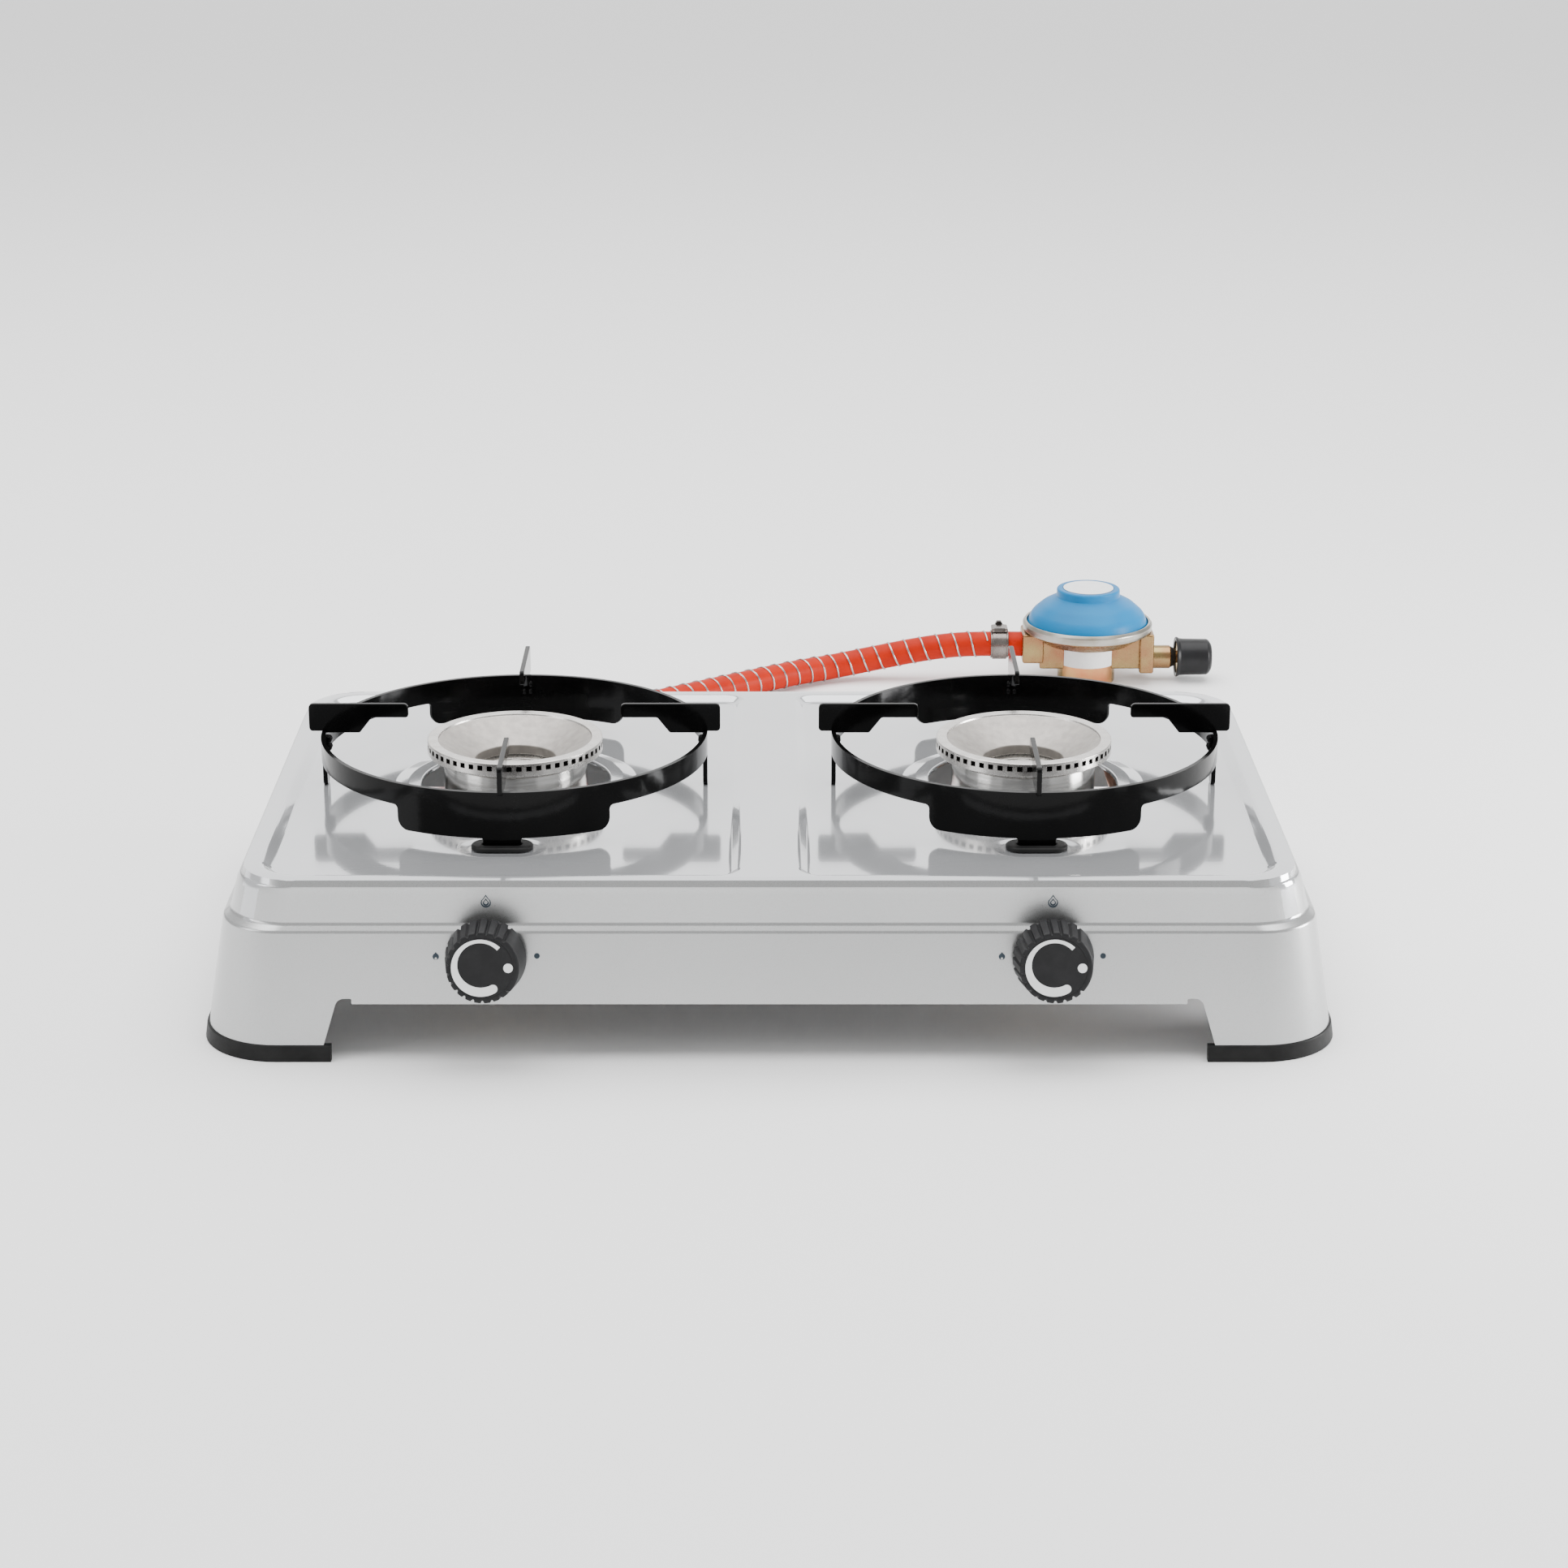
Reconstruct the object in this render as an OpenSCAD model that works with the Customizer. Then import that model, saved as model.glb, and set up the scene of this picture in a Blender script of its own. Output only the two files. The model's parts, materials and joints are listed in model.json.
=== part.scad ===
// Two-burner camp stove: pressed hob on rubber foot trims, lift-off pan supports, ported burners,
// push-and-turn valve knobs, and a free gas hose to a small domed regulator.
// The origin is the middle of the stove's footprint on the surface it stands on.
// X is the width, -Y is the knob side, +Z is up.

/* [Hob shell] */
// Width over the shell's lower edge
body_w = 478; // [440:1:600]
// Depth over the shell's lower edge
body_d = 287; // [270:1:360]
// Height of the top rim
rim_z = 76.5; // [70:0.5:95]
// How far each side leans in from the lower edge to the rim
side_lean = 19; // [12:0.5:26]
// How far the front and the back lean in from the lower edge to the rim
front_lean = 13; // [9:0.5:18]
// Corner radius at the lower edge
foot_corner_r = 33; // [26:0.5:44]
// Corner radius at the rim
rim_corner_r = 24; // [18:0.5:32]
// Sheet thickness
sheet_t = 1.2; // [0.8:0.1:1.6]
// Height of the ledge pressed round the walls
ledge_z = 55; // [50:0.5:60]
// Depth of the two pressed pans below the rim
pan_depth = 2.5; // [1.5:0.1:4]
// Width of the flat rim round the pans
rim_flat = 6.8; // [4:0.1:10]
// Width of the flat strip between the pans
strip_w = 25; // [15:0.5:40]
// Height of the raised collar round each burner hole
collar_h = 1.5; // [0.8:0.1:2.5]

/* [Legs and foot trims] */
// Height of the skirt's lower edge between the legs
skirt_z = 24.5; // [18:0.5:30]
// Width of each leg along the front, at the floor
leg_w = 53; // [40:1:70]
// Width of each leg along the side, at the floor
leg_d = 50; // [40:1:60]
// How far each leg's edge leans outward on its way up
leg_slant = 6; // [0:0.5:10]
// Height of the rubber trims
trim_h = 7; // [5:0.5:10]
// Rubber thickness outside the sheet
trim_t = 1; // [0.6:0.1:2]
// Rubber thickness under the sheet's edge
trim_floor = 1.5; // [1:0.1:3]

/* [Burners] */
// Distance from the middle to each burner
burner_x = 114; // [100:1:130]
// Diameter of the burner head
head_d = 78.3; // [70:0.1:90]
// How far the burner head's top stands above the hob's rim
head_rise = 19.4; // [15.5:0.1:25.5]
// Height of the slotted head above the base ring
head_side = 3.6; // [3:0.1:5]
// Height of the base ring
base_h = 2.6; // [2:0.1:4]
// Number of flame ports
ports = 56; // [40:2:72]
// Width of a flame port
port_w = 2.05; // [1.2:0.05:2.5]
// Height of a flame port
port_h = 1.9; // [1.2:0.05:2.4]
// Diameter of the dish's opening at the top rim
dish_d = 68.9; // [60:0.1:70]
// Diameter of the hole in the middle of the dish
dish_hole_d = 36; // [24:0.5:44]
// Depth of the dish
dish_depth = 9.8; // [6:0.1:12]
// Diameter of the cup below the head
cup_d = 64.3; // [56:0.1:70]
// Height of the cup's floor
cup_floor_z = 31; // [29:0.5:33]
// Diameter of the hole in the hob
hob_hole_d = 84.2; // [80:0.1:96]

/* [Pan supports] */
// Outer diameter of the ring
ring_d = 172.6; // [150:0.1:180]
// Thickness of the ring strip
ring_t = 2; // [1.5:0.1:3]
// How far the ring's top edge stands above the hob's rim
ring_rise = 22.4; // [19.5:0.1:27.5]
// Height of the ring strip at the sides
ring_h = 9.8; // [7:0.1:12]
// Height of the ring strip at the front and back
deep_h = 20.6; // [16:0.1:21]
// Width of the deep stretch
deep_w = 90; // [60:1:110]
// Thickness of a finger
finger_t = 2.2; // [1.6:0.1:3]
// How far the fingers' top edge stands above the hob's rim
finger_rise = 35.1; // [32.5:0.1:41.5]
// Reach of a finger from the burner's axis
finger_r = 92; // [88:0.5:98]
// Length of a finger
finger_len = 44.5; // [35:0.5:50]
// Width of the tabs that sit in the grommets
tab_w = 16; // [12:0.5:20]

/* [Knobs] */
// Distance from the middle to each knob
knob_x = 117.5; // [100:0.5:135]
// Height of the knob's axis at the wall
knob_z = 45; // [42:0.5:47]
// Diameter at the knob's base
knob_d = 34; // [28:0.5:36]
// Diameter of the knob's face
knob_face_d = 30; // [24:0.5:32]
// Length of the knob
knob_len = 18; // [14:0.5:22]
// Gap behind the knob
knob_gap = 3; // [2.8:0.1:4]
// Number of grip grooves
grooves = 18; // [12:1:18]
// Diameter of the spindle
spindle_d = 6; // [5:0.5:7]

/* [Gas way] */
// Distance from the middle to the hose nozzle at the back
nozzle_x = 165; // [160:1:172]
// Outer diameter of the gas rail
rail_d = 9; // [8:0.5:10]
// Outer diameter of the inlet pipe
pipe_d = 8; // [6:0.5:9]
// Outer diameter of the mixing tubes
mixer_d = 13; // [11:0.5:15]
// Outer diameter of the gas hose
hose_d = 14; // [12:0.5:15]

/* [Regulator] */
// Diameter over the crimped rim
crimp_d = 72.8; // [64:0.1:80]
// Height of the cap's flat top
cap_z = 53.9; // [48:0.1:60]
// Diameter of the body's foot
boss_d = 32.2; // [26:0.1:36]
// Diameter of the thread cap
thread_cap_d = 20.6; // [19:0.1:26]

/* [Hidden] */
$fn = 64;

// Small amounts
eps = 0.01;              // cuts run this much past a face
run_gap = 0.05;          // radial clearance of a shaft in its bore
seat_gap = 0.1;          // clearance under what stands on the hob
slot_gap = 0.4;          // clearance round a tab in its grommet
corner_steps = 7;        // facets in a quarter corner

// Shell heights and leans
edge_z = trim_floor;                         // the sheet's lower edge stands in the trims
ledge_h = 2.5;                               // height of the ledge
roll_h = 6;                                  // height of the rolled edge below the rim
ledge_top_z = ledge_z + ledge_h;
roll_z = rim_z - roll_h;
deck_z = rim_z - pan_depth;                  // floor of the pressed pans
deck_under_z = deck_z - sheet_t;
head_z = rim_z + head_rise;                  // top of the burner heads
ring_z = rim_z + ring_rise;                  // top of the support rings
finger_z = rim_z + finger_rise;              // top of the fingers
pan_slope = 4;                               // width of the slope from the rim to a pan
pan_corner_r = 9;                            // corner radius of a pan beside the strip
// Share of the lean used up at each height: lower edge, ledge foot, ledge top, roll foot, roll, rim
levels = [
    [edge_z, 0, 0],
    [ledge_z, 0.47, 0.56],
    [ledge_top_z, 0.63, 0.76],
    [roll_z, 0.80, 0.84],
    [rim_z - 0.30 * roll_h, 0.86, 0.90],
    [rim_z - 0.06 * roll_h, 0.94, 0.96],
    [rim_z, 1, 1]
];
wall_tilt = atan(0.56 * front_lean / (ledge_z - edge_z));        // lean of the lower front wall
upper_tilt = atan(0.08 * front_lean / (roll_z - ledge_top_z));   // lean of the upper front wall

// Knob side
wall_y = -(body_d / 2 - 0.56 * front_lean * (knob_z - edge_z) / (ledge_z - edge_z));
knob_face = knob_gap + knob_len;                                 // face of the knob along its axis
push_travel = 2.5;
reach_y = -wall_y + knob_face * cos(wall_tilt)
    + knob_face_d / 2 * sin(wall_tilt);                          // furthest point of the knobs
// Valve stations along the knob's axis, behind the wall
neck_start = -3;
chamber_start = -14;
plug_start = -15;
plug_end = -36;
chamber_end = -40;
chamber_r = 8.6;
plug_r1 = 6.5;
plug_r2 = 5;
// Gas way
jet_z = 39.6;
jet_y = -93;
rail_y = wall_y + 30 * cos(wall_tilt);
rail_z = 55;
rail_end_gap = 10;
boss_r = 6;
boss_under_z = 50.8;
rail_bracket_x = 40;
nozzle_z = 45;
rear_wall_y = body_d / 2 - 0.56 * front_lean * (nozzle_z - edge_z) / (ledge_z - edge_z);
hex_d = 16;
hex_start_y = rear_wall_y - 6;
hex_end_y = rear_wall_y + 3.5;

// Burner stations
base_z = head_z - head_side - base_h;        // underside of the base ring
cup_r = cup_d / 2;
bracket_t = 1.5;
bracket_y = 58;
bracket_w = 24;
screw_r = 2.5;
bridge_z = head_z - dish_depth - 6.1;         // underside of the strap
chamber_floor_z = bridge_z + 1.5;            // underside of the gas chamber in the base

// Pan support stations
ring_r = ring_d / 2;
ring_mid_r = ring_r - ring_t / 2;
tab_bottom_z = deck_z - 8;

// Regulator stations; its own X runs from the hose to the thread
rear_shift = body_d / 2 - 143.5;             // the regulator and the hose follow the rear wall
reg_x = 179.5;
reg_y = 400.5 + rear_shift;
reg_nozzle_z = 21;
reg_neck_z = 13.4;
crimp_z = 30.6;
crimp_h = 4.9;
reg_face = -37;                              // face that the hose meets
neck_start_x = 37;
neck_end_x = 47.4;
neck_r = 6.6;
spigot_r = 3.5;
nut_start_x = 51.5;
nut_end_x = 69;
nut_r = 9.2;
cap_lip_x = 50.2;
cap_end_x = 70.5;
clamp_w = 10;
clamp_t = 2.2;

// The hose lies behind the stove in one loose S, and its points are chosen by hand
hose_lie_z = hose_d / 2 + 1.4;               // it lies on the wire wound round it
hose_marks = [
    [165, 156, 45], [165, 170, 44], [163.5, 184, 41],
    [159, 198, 35.5], [151, 211, 28.5], [139.5, 221, 21], [125, 227.5, 15], [109, 230, 10.5],
    [92, 229, hose_lie_z], [60, 222.5, hose_lie_z], [30, 215.5, hose_lie_z],
    [0, 208, hose_lie_z], [-30, 200.5, hose_lie_z], [-60, 193, hose_lie_z],
    [-97, 184, hose_lie_z], [-120, 182, hose_lie_z], [-142.5, 189, hose_lie_z],
    [-160.5, 204.5, hose_lie_z], [-171, 225.5, hose_lie_z], [-172.5, 248.5, hose_lie_z],
    [-165, 271, hose_lie_z], [-150, 288.5, hose_lie_z], [-129, 299, hose_lie_z],
    [-103, 308, hose_lie_z], [-78, 320, hose_lie_z], [-60, 331, hose_lie_z],
    [-44, 342.5, hose_lie_z], [-22, 359, hose_lie_z], [0, 375, hose_lie_z],
    [18, 387.5, hose_lie_z], [32, 395.5, hose_lie_z], [46, 399.5, 10], [60, 401, 12.5],
    [76, 401, 15.8], [92, 400.5, 18.8], [107, 400.5, 20.5], [122, 400.5, reg_nozzle_z]
];
hose_route = concat(
    [[nozzle_x, hex_end_y, nozzle_z]],
    [for (mark = hose_marks) [mark[0], mark[1] + rear_shift, mark[2]]],
    [[reg_x + reg_face, reg_y, reg_nozzle_z]]
);

// ---------- shared shapes ----------

// Points of a quarter circle
function quarter(x, y, r, start) = [
    for (i = [0 : corner_steps])
        [x + r * cos(start + 90 * i / corner_steps), y + r * sin(start + 90 * i / corner_steps)]
];

// Rounded rectangle from x0, y0 to x1, y1 at height z, with one radius each side
function ring_points(x0, x1, y0, y1, z, r_left, r_right) = [
    for (p = concat(quarter(x1 - r_right, y1 - r_right, r_right, 0),
                    quarter(x0 + r_left, y1 - r_left, r_left, 90),
                    quarter(x0 + r_left, y0 + r_left, r_left, 180),
                    quarter(x1 - r_right, y0 + r_right, r_right, 270)))
        [p[0], p[1], z]
];

// A closed solid through a stack of rings with equal numbers of points
module loft(rings) {
    n = len(rings[0]);
    last = len(rings) - 1;
    polyhedron(
        points = [for (ring = rings) for (p = ring) p],
        faces = concat(
            [[for (i = [0 : n - 1]) i]],
            [for (k = [0 : last - 1]) for (i = [0 : n - 1])
                [k * n + i, (k + 1) * n + i, (k + 1) * n + (i + 1) % n]],
            [for (k = [0 : last - 1]) for (i = [0 : n - 1])
                [k * n + i, (k + 1) * n + (i + 1) % n, k * n + (i + 1) % n]],
            [[for (i = [n - 1 : -1 : 0]) last * n + i]]
        ),
        convexity = 10
    );
}

function unit(v) = v / norm(v);
function direction(path, i) = unit(path[min(i + 1, len(path) - 1)] - path[max(i - 1, 0)]);
function across(t) = unit(cross(t, [0, 0, 1]));

// A round tube swept along a path that is nowhere upright
module sweep(path, r, sides) {
    loft([for (i = [0 : len(path) - 1])
        let (t = direction(path, i), s = across(t), u = cross(s, t))
            [for (k = [0 : sides - 1])
                path[i] + r * cos(360 * k / sides) * s - r * sin(360 * k / sides) * u]]);
}

// A coil spring of wire along Z
module coil(r, wire_r, z0, z1, turns) {
    steps = 14 * turns;
    sweep([for (i = [0 : steps])
        [r * cos(360 * turns * i / steps), r * sin(360 * turns * i / steps),
         z0 + wire_r + (z1 - z0 - 2 * wire_r) * i / steps]], wire_r, 8);
}

// A slab with round ends, long along X
module oblong(w, d, h) {
    for (x = [-1, 1]) {
        translate([x * (w - d) / 2, 0, 0]) cylinder(h = h, d = d);
    }
    translate([-(w - d) / 2, -d / 2, 0]) cube([w - d, d, h]);
}

// A cylinder lying along X or along Y
module along_x(x0, x1, r) {
    translate([x0, 0, 0]) rotate([0, 90, 0]) cylinder(h = x1 - x0, r = r);
}

module along_y(y0, y1, r) {
    translate([0, y0, 0]) rotate([-90, 0, 0]) cylinder(h = y1 - y0, r = r);
}

// Local frame of a knob: X to the right, Y up the wall, Z out of the wall
module at_knob(side) {
    translate([side * knob_x, wall_y, knob_z]) rotate([90 - wall_tilt, 0, 0]) children();
}

// ---------- hob ----------

// The shell's outline at one level, drawn in by an amount
function shell_ring(level, inset, z) =
    let (hw = body_w / 2 - side_lean * level[1] - inset,
         hd = body_d / 2 - front_lean * level[2] - inset,
         r = foot_corner_r + (rim_corner_r - foot_corner_r) * level[1] - inset)
        ring_points(-hw, hw, -hd, hd, z, r, r);

// One pressed pan, from its floor up past the rim
module pan_block(side, grow, floor_z, top_z) {
    inner = strip_w / 2;
    outer = body_w / 2 - side_lean - rim_flat;
    half_d = body_d / 2 - front_lean - rim_flat;
    outer_r = rim_corner_r - rim_flat;
    mirror([side < 0 ? 1 : 0, 0, 0]) loft([
        ring_points(inner + pan_slope - grow, outer - pan_slope + grow, -half_d + pan_slope - grow,
            half_d - pan_slope + grow, floor_z, pan_corner_r - pan_slope + grow,
            outer_r - pan_slope + grow),
        ring_points(inner - grow, outer + grow, -half_d - grow, half_d + grow, rim_z,
            pan_corner_r + grow, outer_r + grow),
        ring_points(inner - grow, outer + grow, -half_d - grow, half_d + grow, top_z,
            pan_corner_r + grow, outer_r + grow)
    ]);
}

// Opening between two legs, drawn across the wall: half width at the floor, and the wall's run
module arch(half_w) {
    relief = 2.3;
    relief_w = 6;
    fillet = 5;
    top = half_w - leg_slant;
    polygon(concat(
        [[half_w + leg_slant * edge_z / skirt_z, -eps], [half_w - leg_slant * 0.7, skirt_z - fillet]],
        [for (a = [0 : 22.5 : 90]) [top - fillet + fillet * cos(a), skirt_z + relief - fillet + fillet * sin(a)]],
        [[top - relief_w, skirt_z + relief], [top - relief_w, skirt_z]],
        [[-top + relief_w, skirt_z], [-top + relief_w, skirt_z + relief]],
        [for (a = [90 : 22.5 : 180]) [-top + fillet + fillet * cos(a), skirt_z + relief - fillet + fillet * sin(a)]],
        [[-half_w + leg_slant * 0.7, skirt_z - fillet], [-half_w - leg_slant * edge_z / skirt_z, -eps]]
    ));
}

module arches() {
    rotate([90, 0, 0]) linear_extrude(height = body_d + 20, center = true)
        arch(body_w / 2 - leg_w);
    rotate([90, 0, 90]) linear_extrude(height = body_w + 20, center = true)
        arch(body_d / 2 - leg_d);
}

module hob_shell() {
    color("silver") difference() {
        union() {
            difference() {
                loft([for (level = levels) shell_ring(level, 0, level[0])]);
                loft(concat(
                    [shell_ring(levels[0], sheet_t, edge_z - 1)],
                    [for (i = [0 : 3]) shell_ring(levels[i], sheet_t, levels[i][0])],
                    [shell_ring(levels[6], sheet_t, rim_z - sheet_t)]
                ));
            }
            for (side = [-1, 1]) {
                intersection() {
                    loft([for (level = levels) shell_ring(level, 0, level[0])]);
                    pan_block(side, sheet_t, deck_under_z, rim_z + 1);
                }
            }
        }
        for (side = [-1, 1]) {
            pan_block(side, 0, deck_z, rim_z + 2);
            translate([side * burner_x, 0, deck_under_z - 1]) cylinder(h = 10, d = hob_hole_d);
            for (end = [-1, 1]) {
                translate([side * burner_x, end * ring_mid_r, deck_under_z - 1]) oblong(20, 8, 10);
            }
            at_knob(side) translate([0, 0, -6]) cylinder(h = 12, r = 5.5);
        }
        translate([nozzle_x, 0, nozzle_z]) along_y(rear_wall_y - 12, body_d / 2 + 5, hex_d / 2 + 1);
        arches();
    }
    for (side = [-1, 1]) {
        color("silver") translate([side * burner_x, 0, 0]) rotate_extrude() polygon([
            [hob_hole_d / 2, deck_z - eps], [hob_hole_d / 2 + 12.6, deck_z - eps],
            [hob_hole_d / 2 + 6, deck_z + collar_h], [hob_hole_d / 2, deck_z + collar_h]
        ]);
    }
}

// ---------- foot trims ----------

// Rubber strip round one corner of the lower edge
module foot_trim(sx, sy) {
    past = 3;                                // the strip runs this much past the leg's edge
    lean = [trim_h, 0.47 * (trim_h - edge_z) / (ledge_z - edge_z), 0.56 * (trim_h - edge_z) / (ledge_z - edge_z)];
    foot = levels[0];
    color([0.12, 0.12, 0.12]) intersection() {
        difference() {
            loft([shell_ring(foot, -trim_t, 0), shell_ring(foot, -trim_t, edge_z),
                  shell_ring(lean, -trim_t, trim_h)]);
            loft([shell_ring(foot, sheet_t + 1.5, -1), shell_ring(foot, sheet_t + 1.5, edge_z),
                  shell_ring(lean, sheet_t + 1.5, trim_h), shell_ring(lean, sheet_t + 1.5, trim_h + 1)]);
            difference() {
                loft([shell_ring(foot, 0, edge_z), shell_ring(lean, 0, trim_h),
                      shell_ring(lean, 0, trim_h + 1)]);
                loft([shell_ring(foot, sheet_t, edge_z - 1), shell_ring(foot, sheet_t, edge_z),
                      shell_ring(lean, sheet_t, trim_h), shell_ring(lean, sheet_t, trim_h + 2)]);
            }
        }
        translate([sx > 0 ? body_w / 2 - leg_w - past : -body_w / 2 - 10,
                   sy > 0 ? body_d / 2 - leg_d - past : -body_d / 2 - 10, -1])
            cube([leg_w + past + 10, leg_d + past + 10, trim_h + 3]);
    }
}

module front_left_foot_trim() { foot_trim(-1, -1); }
module front_right_foot_trim() { foot_trim(1, -1); }
module rear_left_foot_trim() { foot_trim(-1, 1); }
module rear_right_foot_trim() { foot_trim(1, 1); }

// ---------- pan supports ----------

// Rubber grommets that the supports' tabs push into
module support_grommets() {
    lip_h = 1.8;
    color([0.1, 0.1, 0.1]) for (side = [-1, 1]) for (end = [-1, 1]) {
        translate([side * burner_x, end * ring_mid_r, 0]) difference() {
            union() {
                translate([0, 0, deck_z]) oblong(26.5, 13, lip_h);
                translate([0, 0, deck_under_z]) oblong(20, 8, sheet_t);
                translate([0, 0, deck_under_z - 1.4]) oblong(23, 11, 1.4);
            }
            translate([-tab_w / 2 - slot_gap, -ring_t / 2 - 2 * slot_gap, deck_under_z - 3])
                cube([tab_w + 2 * slot_gap, ring_t + 4 * slot_gap, 10]);
        }
    }
}

// The strip's outline seen from the front: narrow at the sides, deep in the middle
module strip_outline() {
    side_bottom = ring_z - ring_h;
    deep_bottom = ring_z - deep_h;
    r = 6;
    translate([-ring_r - 1, side_bottom]) square([2 * ring_r + 2, ring_h + 1]);
    translate([-deep_w / 2, deep_bottom + r]) square([deep_w, deep_h - r]);
    translate([-deep_w / 2 + r, deep_bottom]) square([deep_w - 2 * r, deep_h]);
    for (x = [-1, 1]) {
        translate([x * (deep_w / 2 - r), deep_bottom + r]) circle(r = r);
    }
    translate([-tab_w / 2, tab_bottom_z]) square([tab_w, deep_bottom - tab_bottom_z + 1]);
}

module pan_ring(side) {
    leg_w_side = 8;
    color([0.08, 0.08, 0.08]) translate([side * burner_x, 0, 0]) {
        intersection() {
            difference() {
                translate([0, 0, tab_bottom_z - 1]) cylinder(h = ring_z - tab_bottom_z + 1, r = ring_r, $fn = 128);
                translate([0, 0, tab_bottom_z - 2]) cylinder(h = ring_z, r = ring_r - ring_t, $fn = 128);
            }
            rotate([90, 0, 0]) linear_extrude(height = 2 * ring_d, center = true) strip_outline();
        }
        // Side legs that stand on the hob
        intersection() {
            difference() {
                translate([0, 0, deck_z + seat_gap]) cylinder(h = ring_z - ring_h - deck_z + 1, r = ring_r, $fn = 128);
                translate([0, 0, deck_z - 1]) cylinder(h = ring_z, r = ring_r - ring_t, $fn = 128);
            }
            translate([-ring_r - 1, -leg_w_side / 2, deck_z - 1]) cube([2 * ring_r + 2, leg_w_side, ring_z]);
        }
    }
}

module left_pan_ring() { pan_ring(-1); }
module right_pan_ring() { pan_ring(1); }

// Outline of one finger: radius from the burner's axis, and height
module finger_outline() {
    inner = finger_r - finger_len;
    narrow_z = finger_z - 6.4;
    deep_z = ring_z - 0.8;
    r = 1.5;
    polygon([
        [inner, narrow_z + 1], [inner + 1, narrow_z], [finger_r - 28.2, narrow_z],
        [finger_r - 22.6, deep_z],
        [ring_r - ring_t, deep_z], [ring_r - ring_t, ring_z], [finger_r - r, ring_z], [finger_r, ring_z + r],
        [finger_r, finger_z - r], [finger_r - r, finger_z], [inner + r, finger_z], [inner, finger_z - r]
    ]);
}

module pan_fingers(side) {
    color([0.08, 0.08, 0.08]) translate([side * burner_x, 0, 0]) for (turn = [0 : 90 : 270]) {
        rotate([0, 0, turn]) rotate([90, 0, 0])
            linear_extrude(height = finger_t, center = true) finger_outline();
    }
}

module left_pan_fingers() { pan_fingers(-1); }
module right_pan_fingers() { pan_fingers(1); }

// ---------- burners ----------

module burner_head(side) {
    r = head_d / 2;
    under = head_z - head_side;
    dish_r = dish_d / 2;
    hole_r = dish_hole_d / 2;
    dish_z = head_z - dish_depth;
    color([0.75, 0.75, 0.73]) translate([side * burner_x, 0, 0]) difference() {
        rotate_extrude($fn = 128) polygon([
            [hole_r, dish_z - 4], [hole_r + 2, dish_z - 4], [hole_r + 2, dish_z - 1.5],
            [dish_r - 2, head_z - 3.4], [r - 2.4, head_z - 2.6], [r - 2.4, under], [r, under],
            [r, head_z - 0.5], [r - 0.5, head_z], [dish_r, head_z], [dish_r - 0.3, head_z - 0.8],
            [hole_r, dish_z]
        ]);
        for (i = [0 : ports - 1]) {
            rotate([0, 0, 360 * i / ports]) translate([r - 4, -port_w / 2, under - eps])
                cube([6, port_w, port_h + eps]);
        }
    }
}

module left_burner_head() { burner_head(-1); }
module right_burner_head() { burner_head(1); }

// Base ring that closes the head's gas channel, with the ledge that carries the bridge
module burner_base(side) {
    r = head_d / 2;
    hole_r = dish_hole_d / 2;
    top = base_z + base_h;
    spigot = cup_r - 1.2;
    seat_z = head_z - dish_depth - 4;
    color([0.72, 0.72, 0.7]) translate([side * burner_x, 0, 0]) difference() {
        rotate_extrude($fn = 128) polygon([
            [hole_r - 3, bridge_z - 1.5], [hole_r + 1.4, bridge_z - 1.5], [hole_r + 1.4, chamber_floor_z],
            [spigot, chamber_floor_z], [spigot, base_z], [r - 0.6, base_z], [r, base_z + 0.6], [r, top],
            [r - 2.4, top], [r - 2.4, base_z + 1.2], [spigot + 0.5, base_z + 0.7], [spigot - 2, base_z - 0.7],
            [spigot - 2, chamber_floor_z + 1.5], [hole_r + 2.4, chamber_floor_z + 1.5],
            [hole_r + 2.4, seat_z], [hole_r - 0.5, seat_z], [hole_r - 0.5, bridge_z], [hole_r - 3, bridge_z]
        ]);
        translate([0, -25, chamber_floor_z - 1]) cylinder(h = 4, r = mixer_d / 2 - 2.5);
    }
}

module left_burner_base() { burner_base(-1); }
module right_burner_base() { burner_base(1); }

module burner_cup(side) {
    wall = 1;
    top = base_z;
    color([0.8, 0.8, 0.8]) translate([side * burner_x, 0, 0]) difference() {
        translate([0, 0, cup_floor_z]) cylinder(h = top - cup_floor_z, r = cup_r, $fn = 128);
        translate([0, 0, cup_floor_z + wall]) cylinder(h = top, r = cup_r - wall, $fn = 128);
        translate([0, 0, cup_floor_z - 1]) cylinder(h = 4, r = screw_r + 0.2);
        translate([0, 0, jet_z]) along_y(-cup_r - 2, -cup_r + 8, mixer_d / 2);
    }
}

module left_burner_cup() { burner_cup(-1); }
module right_burner_cup() { burner_cup(1); }

// Strap across the hole in the dish, which the screw pulls down
module burner_bridge(side) {
    half = dish_hole_d / 2 - 1;
    color([0.6, 0.6, 0.6]) translate([side * burner_x, 0, 0]) difference() {
        intersection() {
            translate([-half, -5, bridge_z]) cube([2 * half, 10, 1.5]);
            translate([0, 0, bridge_z - 1]) cylinder(h = 5, r = half);
        }
        translate([0, 0, bridge_z - 1]) cylinder(h = 5, r = screw_r + 0.2);
    }
}

module left_burner_bridge() { burner_bridge(-1); }
module right_burner_bridge() { burner_bridge(1); }

module burner_screws() {
    bottom = cup_floor_z - bracket_t - 4;
    color([0.65, 0.65, 0.65]) for (side = [-1, 1]) {
        translate([side * burner_x, 0, 0]) difference() {
            union() {
                translate([0, 0, bottom]) cylinder(h = bridge_z + 1.5 - bottom, r = screw_r);
                translate([0, 0, bridge_z + 1.5]) cylinder(h = 2.6, r1 = 4.6, r2 = 3.8);
            }
            translate([-5, -0.5, bridge_z + 3]) cube([10, 1, 3]);
        }
    }
}

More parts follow.
